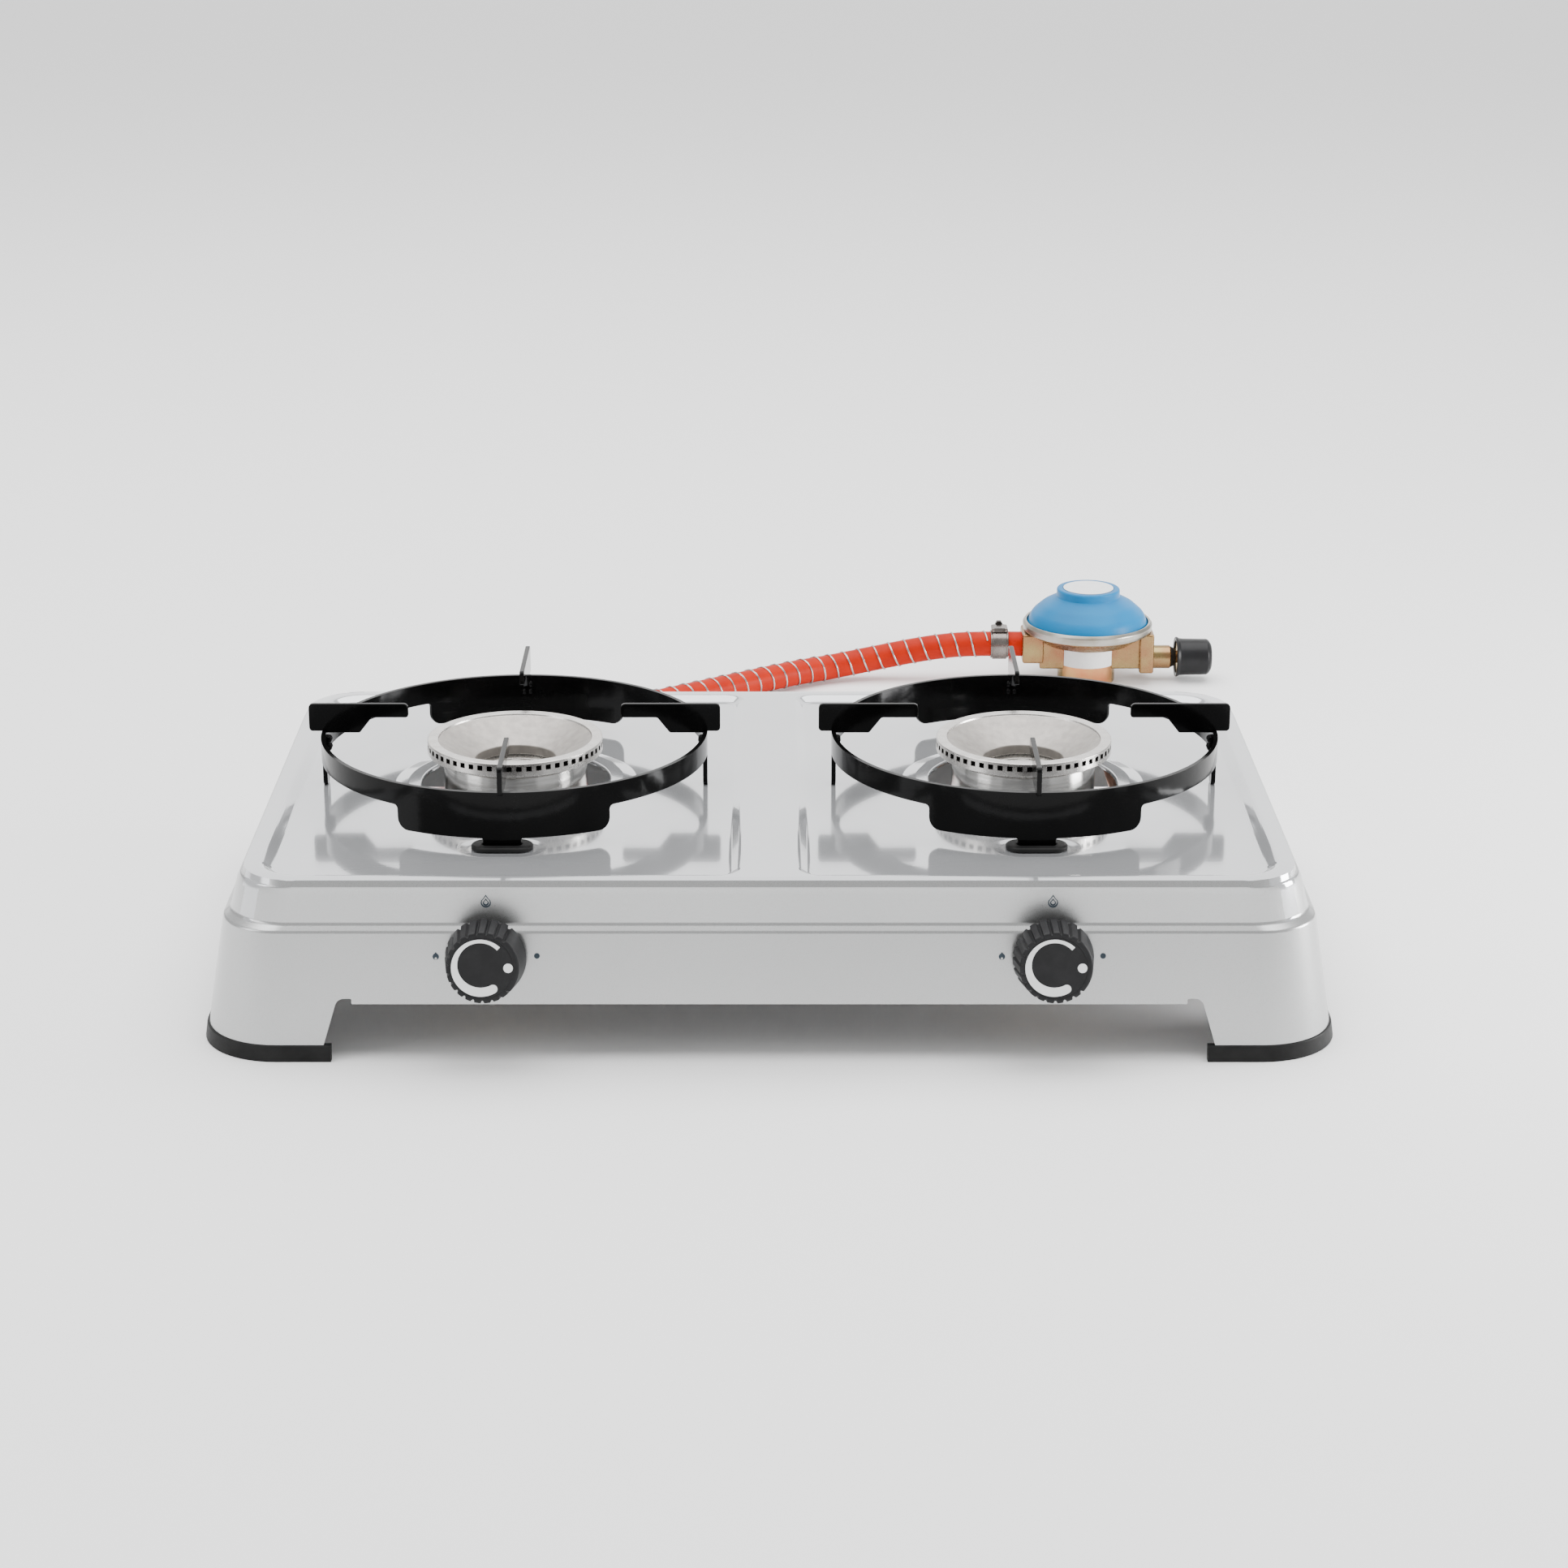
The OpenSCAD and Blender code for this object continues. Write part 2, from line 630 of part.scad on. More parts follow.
module burner_nuts() {
    color([0.65, 0.65, 0.65]) for (side = [-1, 1]) {
        translate([side * burner_x, 0, cup_floor_z - bracket_t - 4]) difference() {
            cylinder(h = 4, d = 9.2, $fn = 6);
            translate([0, 0, -1]) cylinder(h = 6, r = screw_r);
        }
    }
}

// Strap under the hob that carries the cup, welded to the hob in front and behind
module burner_bracket(side) {
    foot_l = 13;
    low = cup_floor_z - bracket_t;
    color([0.55, 0.55, 0.55]) translate([side * burner_x, 0, 0]) difference() {
        union() {
            translate([-bracket_w / 2, -bracket_y, low]) cube([bracket_w, 2 * bracket_y, bracket_t]);
            for (end = [-1, 1]) {
                translate([-bracket_w / 2, end * bracket_y - bracket_t / 2, low])
                    cube([bracket_w, bracket_t, deck_under_z - low]);
                translate([-bracket_w / 2, end > 0 ? bracket_y - bracket_t / 2 : -bracket_y + bracket_t / 2 - foot_l,
                           deck_under_z - bracket_t])
                    cube([bracket_w, foot_l, bracket_t]);
            }
        }
        translate([0, 0, low - 1]) cylinder(h = 4, r = screw_r + 0.2);
        translate([0, 0, jet_z]) along_y(-bracket_y - 4, -bracket_y + 4, mixer_d / 2 + 0.3);
    }
}

module left_burner_bracket() { burner_bracket(-1); }
module right_burner_bracket() { burner_bracket(1); }

// Tube from the jet to the base ring: a bell mouth, a level run and a riser
module mixing_tube(side) {
    r = mixer_d / 2;
    wall = 1;
    riser_r = r - 1;
    mouth_y = jet_y + 10;
    color([0.7, 0.68, 0.62]) translate([side * burner_x, 0, 0]) difference() {
        union() {
            translate([0, mouth_y, jet_z]) rotate([-90, 0, 0]) cylinder(h = 7, r1 = r + 3, r2 = r);
            translate([0, 0, jet_z]) along_y(mouth_y + 7 - eps, -25, r);
            translate([0, -25, jet_z]) sphere(r = r);
            translate([0, -25, jet_z]) cylinder(h = chamber_floor_z - jet_z, r = riser_r);
        }
        translate([0, mouth_y - eps, jet_z]) rotate([-90, 0, 0]) cylinder(h = 7, r1 = r + 3 - wall, r2 = r - wall);
        translate([0, 0, jet_z]) along_y(mouth_y + 7 - 2 * eps, -25, r - wall);
        translate([0, -25, jet_z]) cylinder(h = base_z, r = riser_r - wall);
    }
}

module left_mixing_tube() { mixing_tube(-1); }
module right_mixing_tube() { mixing_tube(1); }

module gas_jets() {
    color("goldenrod") for (side = [-1, 1]) {
        translate([side * burner_x, jet_y, jet_z]) rotate([-90, 0, 0]) difference() {
            union() {
                cylinder(h = 4, d = 9.2, $fn = 6);
                translate([0, 0, 4]) cylinder(h = 5, r1 = 3.2, r2 = 1.6);
            }
            translate([0, 0, -1]) cylinder(h = 8, r = 1.2);
            translate([0, 0, 6]) cylinder(h = 5, r = 0.35, $fn = 24);
        }
    }
}

// ---------- valves and knobs ----------

module valve_body(side) {
    stub_y0 = wall_y + 36;
    color("goldenrod") difference() {
        union() {
            at_knob(side) {
                translate([0, 0, chamber_start]) cylinder(h = neck_start - chamber_start, r = 5.5);
                translate([0, 0, chamber_end]) cylinder(h = chamber_start - chamber_end, r = chamber_r);
            }
            translate([side * knob_x, rail_y, boss_under_z - 8]) cylinder(h = 8, r = 4.5);
            translate([side * knob_x, stub_y0, jet_z - 3]) outlet_arm(side, stub_y0);
        }
        at_knob(side) {
            translate([0, 0, plug_start - 1]) cylinder(h = 30, r = spindle_d / 2 + run_gap);
            translate([0, 0, plug_end - run_gap]) cylinder(h = plug_start - plug_end + run_gap,
                r1 = plug_r2 + run_gap, r2 = plug_r1 + run_gap);
            translate([0, 0, plug_start - eps]) cylinder(h = 1 + eps, r = plug_r1 + run_gap);
        }
    }
}

// The valve's outlet arm, which carries the jet in line with the burner
module outlet_arm(side, start_y) {
    shift = side * (burner_x - knob_x);
    translate([min(0, shift) - 4.5, 0, 0]) cube([abs(shift) + 9, jet_y - start_y, 7]);
}

module left_valve_body() { valve_body(-1); }
module right_valve_body() { valve_body(1); }

// Tapered plug with the slot that the spindle's tongue turns
module valve_plug(side) {
    color([0.8, 0.65, 0.3]) at_knob(side) difference() {
        translate([0, 0, plug_end]) cylinder(h = plug_start - plug_end, r1 = plug_r2, r2 = plug_r1);
        translate([0, 0, plug_start - 14]) cylinder(h = 16, r = spindle_d / 2 + 0.3);
        translate([-4.4, -1.2, plug_start - 6]) cube([8.8, 2.4, 8]);
        translate([0, -plug_r1 - 1, plug_end + 5]) rotate([-90, 0, 0]) cylinder(h = plug_r1 + 1, r = 1.5);
    }
}

module left_valve_plug() { valve_plug(-1); }
module right_valve_plug() { valve_plug(1); }

// Return spring at the bottom of the plug's bore
module valve_spring(side) {
    color([0.7, 0.7, 0.7]) at_knob(side) coil(2.2, 0.4, plug_start - 13.8, plug_start - 8.8, 4);
}

module left_valve_spring() { valve_spring(-1); }
module right_valve_spring() { valve_spring(1); }

module spindle(side) {
    r = spindle_d / 2;
    color([0.75, 0.75, 0.75]) at_knob(side) {
        difference() {
            translate([0, 0, plug_start - 6]) cylinder(h = knob_face - 4 - plug_start + 6, r = r);
            translate([r - 0.8, -r, knob_gap + 2]) cube([2 * r, 2 * r, knob_len]);
        }
        translate([-4.1, -0.9, plug_start - 3]) cube([8.2, 1.8, 2.5]);
    }
}

module left_spindle() { spindle(-1); }
module right_spindle() { spindle(1); }

module knob(side) {
    r1 = knob_d / 2;
    r2 = knob_face_d / 2;
    bore_r = spindle_d / 2;
    first = 52;                              // the smooth sector lies to the right of the first groove
    step = 15.5;
    lean = atan((r1 - r2) / knob_len);
    color([0.1, 0.1, 0.1]) at_knob(side) difference() {
        rotate_extrude($fn = 96) polygon([
            [0, knob_face - 4 + 1], [bore_r, knob_face - 3], [bore_r, knob_gap + 1], [6, knob_gap + 1],
            [6, knob_gap + 12], [r1 - 3, knob_gap + 12], [r1 - 2, knob_gap], [r1, knob_gap],
            [r2 + 0.1, knob_face - 0.9], [r2 - 0.8, knob_face], [0, knob_face]
        ]);
        for (i = [0 : grooves - 1]) {
            rotate([0, 0, first + i * step]) translate([r1 + 0.35, 0, knob_gap - 1])
                rotate([0, -lean, 0]) cylinder(h = knob_len + 3, r = 0.95, $fn = 24);
        }
    }
}

module left_knob() { knob(-1); }
module right_knob() { knob(1); }

// White arc that thickens clockwise, and the pointer dot
module knob_marks(side) {
    arc_r = knob_face_d / 2 - 3;
    inner_r = arc_r - 2.6;
    print_t = 0.2;
    start = 47;
    stop = 300;
    far = 3 * arc_r;
    color("white") at_knob(side) translate([0, 0, knob_face]) {
        linear_extrude(height = print_t) union() {
            translate([-0.8, 0]) difference() {
                circle(r = arc_r, $fn = 96);
                translate([0, 1.2]) circle(r = inner_r, $fn = 96);
                polygon([[0, 0], far * [cos(stop), sin(stop)], [far, -0.2 * far], [far, 0.2 * far],
                         far * [cos(start), sin(start)]]);
            }
            translate([-0.8, 0] + (arc_r - 1.85) * [cos(stop), sin(stop)]) circle(r = 1.85);
            translate([arc_r - 1.4, 0]) circle(r = 1.95);
        }
    }
}

module left_knob_marks() { knob_marks(-1); }
module right_knob_marks() { knob_marks(1); }

// Flame outline: a round base drawn up to a point
module flame(w, h) {
    r = w / 2;
    translate([0, r - h / 2]) circle(r = r, $fn = 32);
    polygon([[-r * 0.9, r * 1.3 - h / 2], [0, h / 2], [r * 0.9, r * 1.3 - h / 2], [0, r * 0.8 - h / 2]]);
}

// Printed symbols round each knob: full flame above, low flame at the left, off dot at the right
module dial_marks() {
    print_t = 0.15;
    reach = knob_d / 2 + 4;
    line = 0.45;
    icon_z = roll_z - 3;
    icon_y = -(body_d / 2 - front_lean * (0.76 + 0.08 * (icon_z - ledge_top_z) / (roll_z - ledge_top_z)));
    color([0.25, 0.3, 0.33]) for (side = [-1, 1]) {
        at_knob(side) linear_extrude(height = print_t) {
            translate([reach, 0]) circle(r = 1.2, $fn = 32);
            translate([-reach, 0]) difference() {
                flame(2.7, 3.3);
                translate([0, -1.1]) circle(r = 0.5, $fn = 24);
            }
        }
        translate([side * knob_x, icon_y, icon_z]) rotate([90 - upper_tilt, 0, 0])
            linear_extrude(height = print_t) {
                difference() {
                    flame(4.2, 5.6);
                    flame(4.2 - 2 * line, 5.6 - 3 * line);
                }
                difference() {
                    translate([0, -0.4]) flame(2.4, 3.2);
                    translate([0, -0.4]) flame(2.4 - 2 * line, 3.2 - 3 * line);
                }
            }
    }
}

// ---------- gas way ----------

module gas_rail() {
    r = rail_d / 2;
    left_end = -knob_x - rail_end_gap;
    right_end = nozzle_x + rail_end_gap;
    color([0.6, 0.6, 0.58]) difference() {
        union() {
            translate([0, rail_y, rail_z]) along_x(left_end, right_end, r);
            for (side = [-1, 1]) {
                translate([side * knob_x, rail_y, boss_under_z]) cylinder(h = rail_z - boss_under_z, r = boss_r);
            }
            translate([nozzle_x, rail_y, rail_z]) along_y(0, r + 4, boss_r);
        }
        translate([0, rail_y, rail_z]) along_x(left_end + 3, right_end - 3, r - 1.5);
        for (side = [-1, 1]) {
            translate([side * knob_x, rail_y, boss_under_z - 1]) cylinder(h = 4, r = 2);
        }
        translate([nozzle_x, rail_y, rail_z]) along_y(0, r + 5, 2.5);
    }
}

// Plates that hang the rail from the underside of the hob
module rail_brackets() {
    plate_w = 16;
    plate_t = 2;
    low = rail_z - rail_d / 2 - 2.5;
    color([0.55, 0.55, 0.55]) for (side = [-1, 1]) {
        translate([side * rail_bracket_x, rail_y, 0]) difference() {
            union() {
                translate([-plate_t / 2, -plate_w / 2, low]) cube([plate_t, plate_w, deck_under_z - low]);
                translate([-plate_t / 2, -plate_w / 2, deck_under_z - 1.5]) cube([14, plate_w, 1.5]);
            }
            translate([0, 0, rail_z]) along_x(-5, 5, rail_d / 2);
        }
    }
}

// Pipe that dips from the rail to the nozzle at the back
module inlet_pipe() {
    y0 = rail_y + rail_d / 2 + 4;
    y1 = hex_start_y;
    steps = 20;
    color([0.72, 0.45, 0.3]) sweep([for (i = [0 : steps])
        [nozzle_x, y0 + (y1 - y0) * i / steps,
         rail_z + (nozzle_z - rail_z) * (1 - cos(180 * i / steps)) / 2]], pipe_d / 2, 16);
}

// A barb with ridges along +Y or +X, from 0 to its length
module barb(length, r) {
    ridge = 4;
    difference() {
        union() {
            cylinder(h = length, r = r - 0.8);
            for (z = [ridge : ridge : length - ridge]) {
                translate([0, 0, z]) cylinder(h = ridge - 0.8, r1 = r, r2 = r - 0.8);
            }
        }
        translate([0, 0, -1]) cylinder(h = length + 2, r = 2);
    }
}

module inlet_nozzle() {
    color("goldenrod") translate([nozzle_x, hex_start_y, nozzle_z]) rotate([-90, 0, 0]) {
        difference() {
            cylinder(h = hex_end_y - hex_start_y, d = hex_d, $fn = 6);
            translate([0, 0, -1]) cylinder(h = hex_end_y - hex_start_y + 2, r = 2);
        }
        translate([0, 0, hex_end_y - hex_start_y]) barb(reach_y - hex_end_y, 4.6);
    }
}

module gas_hose() {
    color([0.93, 0.33, 0.13]) sweep(hose_route, hose_d / 2, 12);
}

// Steel band with the screw's housing on top, along Z
module hose_clamp() {
    r = hose_d / 2;
    difference() {
        union() {
            cylinder(h = clamp_w, r = r + clamp_t);
            translate([-4.5, 0, 0]) cube([9, r + clamp_t + 1.2, clamp_w]);
        }
        translate([0, 0, -1]) cylinder(h = clamp_w + 2, r = r);
        translate([-5, r + 1.4, 2]) cube([10, 1.8, clamp_w - 4]);
    }
}

// Places a clamp and its screw: at the stove's nozzle, then at the regulator's
module at_stove_clamp() {
    translate([nozzle_x, hex_end_y + 3, nozzle_z]) rotate([90, 0, 180]) children();
}

module at_regulator_clamp() {
    translate([reg_x + reg_face - 17.6, reg_y, reg_nozzle_z]) rotate([90, 0, 90]) children();
}

module stove_hose_clamp() {
    color([0.75, 0.75, 0.75]) at_stove_clamp() hose_clamp();
}

module regulator_hose_clamp() {
    color([0.75, 0.75, 0.75]) at_regulator_clamp() hose_clamp();
}

// Worm screw lying in the clamp's housing
module clamp_screw() {
    r = hose_d / 2;
    translate([-4.5, r + 1.4, 2]) cube([9, 1.8, clamp_w - 4]);
    translate([4.5, r + 3, clamp_w / 2]) rotate([0, 90, 0]) cylinder(h = 2.4, r = 2.2, $fn = 6);
}

module clamp_screws() {
    color([0.35, 0.33, 0.33]) {
        at_stove_clamp() clamp_screw();
        at_regulator_clamp() clamp_screw();
    }
}

// ---------- regulator ----------

module at_regulator() {
    translate([reg_x, reg_y, 0]) children();
}

module regulator_body() {
    bowl_r = crimp_d / 2 - 2.6;
    block_d = 17;
    color([0.75, 0.62, 0.38]) at_regulator() difference() {
        union() {
            translate([0, 0, 23]) cylinder(h = crimp_z - 24.4, r1 = bowl_r - 9, r2 = bowl_r);
            translate([0, 0, crimp_z - 1.5]) cylinder(h = 1.5, r = bowl_r);
            cylinder(h = crimp_z, d = boss_d);
            translate([reg_face, -11, 12.4]) cube([12, 22, crimp_z - 1 - 12.4]);
            translate([reg_face + 10, -block_d / 2, 8.6]) cube([29 - reg_face - 10, block_d, crimp_z - 8.6]);
            translate([29, -12, 6.8]) cube([neck_start_x - 29, 24, crimp_z - 1 - 6.8]);
            translate([0, 0, reg_neck_z]) along_x(neck_start_x - eps, neck_end_x, neck_r);
            translate([0, 0, reg_neck_z]) along_x(neck_end_x - eps, nut_start_x + 9, spigot_r);
            translate([0, 0, reg_neck_z]) along_x(nut_start_x + 8.8, nut_start_x + 11.5, 6);
        }
        translate([0, 0, 27]) cylinder(h = 10, r = bowl_r - 6);
        translate([0, 0, reg_neck_z]) along_x(6, nut_start_x + 13, 2);
        translate([0, 0, reg_neck_z]) cylinder(h = 20, r = 3);
        translate([0, 0, reg_nozzle_z]) along_x(reg_face - 1, reg_face + 8, 4);
        translate([0, 0, reg_nozzle_z]) along_x(reg_face - 1, 0, 2);
    }
}

// Domed plastic cap with its raised round top
module regulator_cap() {
    rim_r = crimp_d / 2 - 2.6;
    top_r = 17.7;
    shoulder_z = cap_z - 4.6;
    low = crimp_z + 1;
    wall = 2;
    color([0.2, 0.62, 0.82]) at_regulator() rotate_extrude($fn = 96) polygon([
        [0, cap_z], [14.6, cap_z], [14.6, cap_z + 0.01], [top_r - 0.8, cap_z], [top_r, cap_z - 0.8],
        [top_r, shoulder_z + 0.4], [top_r + 1.2, shoulder_z - 0.5],
        [rim_r - 10.5, shoulder_z - 2.6], [rim_r - 4.8, shoulder_z - 6.4], [rim_r - 1.6, shoulder_z - 10.4],
        [rim_r, crimp_z + crimp_h / 2], [rim_r, low], [rim_r - wall, low], [rim_r - 8.6, low + 7.4],
        [top_r, shoulder_z - 2.4],
        [top_r - wall, cap_z - wall], [0, cap_z - wall]
    ]);
}

// Rolled steel rim that holds the cap and the diaphragm on the body
module regulator_crimp() {
    r = crimp_d / 2;
    mid = crimp_z + crimp_h / 2;
    color([0.8, 0.8, 0.8]) at_regulator() rotate_extrude($fn = 96) polygon([
        [r - 2.6, crimp_z - 1], [r - 1, crimp_z - 0.6], [r - 0.2, crimp_z + 0.6], [r, mid],
        [r - 0.4, crimp_z + crimp_h - 0.8], [r - 1.4, crimp_z + crimp_h], [r - 2.2, crimp_z + crimp_h - 0.4],
        [r - 2.6, mid]
    ]);
}

module regulator_diaphragm() {
    color([0.2, 0.2, 0.2]) at_regulator() translate([0, 0, crimp_z])
        cylinder(h = 1, r = crimp_d / 2 - 2.8);
}

module regulator_spring() {
    color([0.7, 0.7, 0.7]) at_regulator() coil(9, 0.9, crimp_z + 1, cap_z - 2, 5);
}

// Blank white labels: a disc on the cap and a plate on the body's foot
module regulator_labels() {
    label_t = 0.15;
    color("white") at_regulator() {
        translate([0, 0, cap_z]) cylinder(h = label_t, r = 14);
        intersection() {
            difference() {
                cylinder(h = 60, d = boss_d + 2 * label_t, $fn = 96);
                translate([0, 0, -1]) cylinder(h = 62, d = boss_d, $fn = 96);
            }
            translate([-13.4, -boss_d, 11]) cube([26.8, boss_d - 8.6, 9.5]);
        }
    }
}

module regulator_nozzle() {
    color([0.75, 0.62, 0.38]) at_regulator() translate([reg_face + 8, 0, reg_nozzle_z])
        rotate([0, -90, 0]) barb(8 + 24, 4);
}

module inlet_seal() {
    color([0.08, 0.08, 0.08]) at_regulator() translate([neck_end_x, 0, reg_neck_z])
        rotate([0, 90, 0]) difference() {
            cylinder(h = 2.8, r1 = neck_r - 0.4, r2 = neck_r - 2.2);
            translate([0, 0, -1]) cylinder(h = 5, r = spigot_r);
        }
}

module union_nut() {
    color("goldenrod") at_regulator() translate([nut_start_x, 0, reg_neck_z])
        rotate([0, 90, 0]) difference() {
            cylinder(h = nut_end_x - nut_start_x, r = nut_r);
            translate([0, 0, -1]) cylinder(h = 30, r = spigot_r + run_gap);
            translate([0, 0, 8.6]) cylinder(h = 30, r = 7);
        }
}

// Soft cap over the union's thread
module thread_cap() {
    r = thread_cap_d / 2;
    length = cap_end_x - cap_lip_x;
    color([0.12, 0.12, 0.12]) at_regulator() translate([cap_lip_x, 0, reg_neck_z])
        rotate([0, 90, 0]) rotate_extrude($fn = 96) polygon([
            [nut_r + run_gap, 0.3], [r + 0.9, 0], [r + 1.1, 0.6], [r + 0.2, 2.2], [r, 4], [r - 0.3, length - 3],
            [r - 1.1, length - 1], [r - 3, length], [0, length], [0, length - 1.3],
            [nut_r + run_gap, length - 1.3]
        ]);
}

hob_shell();
front_left_foot_trim();
front_right_foot_trim();
rear_left_foot_trim();
rear_right_foot_trim();
support_grommets();
left_pan_ring();
right_pan_ring();
left_pan_fingers();
right_pan_fingers();
left_burner_head();
right_burner_head();
left_burner_base();
right_burner_base();
left_burner_cup();
right_burner_cup();
left_burner_bridge();
right_burner_bridge();
burner_screws();
burner_nuts();
left_burner_bracket();
right_burner_bracket();
left_mixing_tube();
right_mixing_tube();
gas_jets();
left_valve_body();
right_valve_body();
left_valve_plug();
right_valve_plug();
left_valve_spring();
right_valve_spring();
left_spindle();
right_spindle();
left_knob();
right_knob();
left_knob_marks();
right_knob_marks();
dial_marks();
gas_rail();
rail_brackets();
inlet_pipe();
inlet_nozzle();
gas_hose();
stove_hose_clamp();
regulator_hose_clamp();
clamp_screws();
regulator_body();
regulator_cap();
regulator_crimp();
regulator_diaphragm();
regulator_spring();
regulator_labels();
regulator_nozzle();
inlet_seal();
union_nut();
thread_cap();
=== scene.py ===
"""Camp stove: the shown pieces, their finishes, the camera and the light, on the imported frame.

Lengths are millimetres while a piece is built, and become metres when it is finished.
"""
import json
import logging
import math
from dataclasses import dataclass, field
from enum import Enum
from typing import Callable, Iterable, Sequence

import bmesh
import bpy
from mathutils import Matrix, Vector


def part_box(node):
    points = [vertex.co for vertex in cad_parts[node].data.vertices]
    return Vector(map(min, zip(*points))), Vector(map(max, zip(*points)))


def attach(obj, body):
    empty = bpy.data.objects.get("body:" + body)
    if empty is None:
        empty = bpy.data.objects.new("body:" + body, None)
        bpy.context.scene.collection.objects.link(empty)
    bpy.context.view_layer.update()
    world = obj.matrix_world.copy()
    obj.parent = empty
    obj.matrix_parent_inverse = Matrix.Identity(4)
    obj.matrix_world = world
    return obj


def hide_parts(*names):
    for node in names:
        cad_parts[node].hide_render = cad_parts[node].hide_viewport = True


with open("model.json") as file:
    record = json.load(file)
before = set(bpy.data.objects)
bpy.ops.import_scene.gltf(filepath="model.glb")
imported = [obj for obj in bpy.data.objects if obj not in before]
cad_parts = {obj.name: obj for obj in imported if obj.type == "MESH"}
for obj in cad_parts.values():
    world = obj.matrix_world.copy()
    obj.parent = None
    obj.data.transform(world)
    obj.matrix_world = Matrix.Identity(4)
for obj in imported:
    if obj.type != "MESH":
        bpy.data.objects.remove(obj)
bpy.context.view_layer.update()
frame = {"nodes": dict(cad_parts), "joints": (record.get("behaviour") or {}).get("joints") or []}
MM = 0.001
LOG = logging.getLogger("camp_stove")

Point = tuple[float, float]


# ---------- finishes ----------


class Grain(Enum):
    """How the fine surface of a finish runs."""

    FLECK = "fleck"
    CAST = "cast"
    BRUSHED = "brushed"
    SOFT = "soft"
    CLOUDS = "clouds"


@dataclass(frozen=True)
class Finish:
    """A procedural surface finish.

    Args:
        name: Name of the finish.
        color: Main colour, linear.
        second: Colour that the variation drifts to.
        grain: How the fine surface runs.
        scale: Size of the colour variation, in noise cells a metre.
        roughness: Lowest and highest roughness.
        metallic: Share of metal.
        coat: Weight of the clear coat.
        coat_roughness: Roughness of the clear coat.
        bump: Depth of the fine surface, in millimetres.
        stretch: Scale of the pattern along X, Y and Z.
        specular: Strength of the plain reflection.
    """

    name: str
    color: tuple[float, float, float]
    second: tuple[float, float, float]
    grain: Grain = Grain.SOFT
    scale: float = 60.0
    roughness: tuple[float, float] = (0.4, 0.5)
    metallic: float = 0.0
    coat: float = 0.0
    coat_roughness: float = 0.05
    bump: float = 0.02
    stretch: tuple[float, float, float] = (1.0, 1.0, 1.0)
    specular: float = 0.5

    def material(self) -> bpy.types.Material:
        """Make the material once, and hand back the same one afterwards.

        Returns:
            The material.
        """
        ready = bpy.data.materials.get(self.name)
        if ready:
            return ready
        material = bpy.data.materials.new(self.name)
        material.use_nodes = True
        tree = material.node_tree
        shader = tree.nodes["Principled BSDF"]
        shader.inputs["Metallic"].default_value = self.metallic
        shader.inputs["Specular IOR Level"].default_value = self.specular
        shader.inputs["Coat Weight"].default_value = self.coat
        shader.inputs["Coat Roughness"].default_value = self.coat_roughness
        place = tree.nodes.new("ShaderNodeTexCoord")
        mapping = tree.nodes.new("ShaderNodeMapping")
        mapping.inputs["Scale"].default_value = self.stretch
        tree.links.new(place.outputs["Object"], mapping.inputs["Vector"])
        drift = self._noise(tree, mapping, self.scale, 4.0)
        mix = tree.nodes.new("ShaderNodeMix")
        mix.data_type = "RGBA"
        mix.inputs["A"].default_value = (*self.color, 1.0)
        mix.inputs["B"].default_value = (*self.second, 1.0)
        ramp = tree.nodes.new("ShaderNodeMapRange")
        ramp.inputs["From Min"].default_value = 0.35
        ramp.inputs["From Max"].default_value = 0.65
        tree.links.new(drift.outputs["Fac"], ramp.inputs["Value"])
        tree.links.new(ramp.outputs["Result"], mix.inputs["Factor"])
        tree.links.new(mix.outputs["Result"], shader.inputs["Base Color"])
        rough = tree.nodes.new("ShaderNodeMapRange")
        rough.inputs["To Min"].default_value = self.roughness[0]
        rough.inputs["To Max"].default_value = self.roughness[1]
        fine = self._noise(tree, mapping, self._fine_scale(), 3.0)
        tree.links.new(fine.outputs["Fac"], rough.inputs["Value"])
        tree.links.new(rough.outputs["Result"], shader.inputs["Roughness"])
        bump = tree.nodes.new("ShaderNodeBump")
        bump.inputs["Distance"].default_value = self.bump * MM
        bump.inputs["Strength"].default_value = 1.0
        tree.links.new(fine.outputs["Fac"], bump.inputs["Height"])
        tree.links.new(bump.outputs["Normal"], shader.inputs["Normal"])
        return material

    def _fine_scale(self) -> float:
        """Noise cells a metre of the fine surface."""
        return {
            Grain.FLECK: 5200.0,
            Grain.CAST: 1500.0,
            Grain.BRUSHED: 900.0,
            Grain.SOFT: 700.0,
            Grain.CLOUDS: 260.0,
        }[self.grain]

    @staticmethod
    def _noise(tree: bpy.types.NodeTree, mapping: bpy.types.Node, scale: float,
               detail: float) -> bpy.types.Node:
        """Add a noise texture.

        Args:
            tree: The material's nodes.
            mapping: Node that gives the place.
            scale: Cells a metre.
            detail: Octaves.

        Returns:
            The noise node.
        """
        node = tree.nodes.new("ShaderNodeTexNoise")
        node.inputs["Scale"].default_value = scale
        node.inputs["Detail"].default_value = detail
        tree.links.new(mapping.outputs["Vector"], node.inputs["Vector"])
        return node


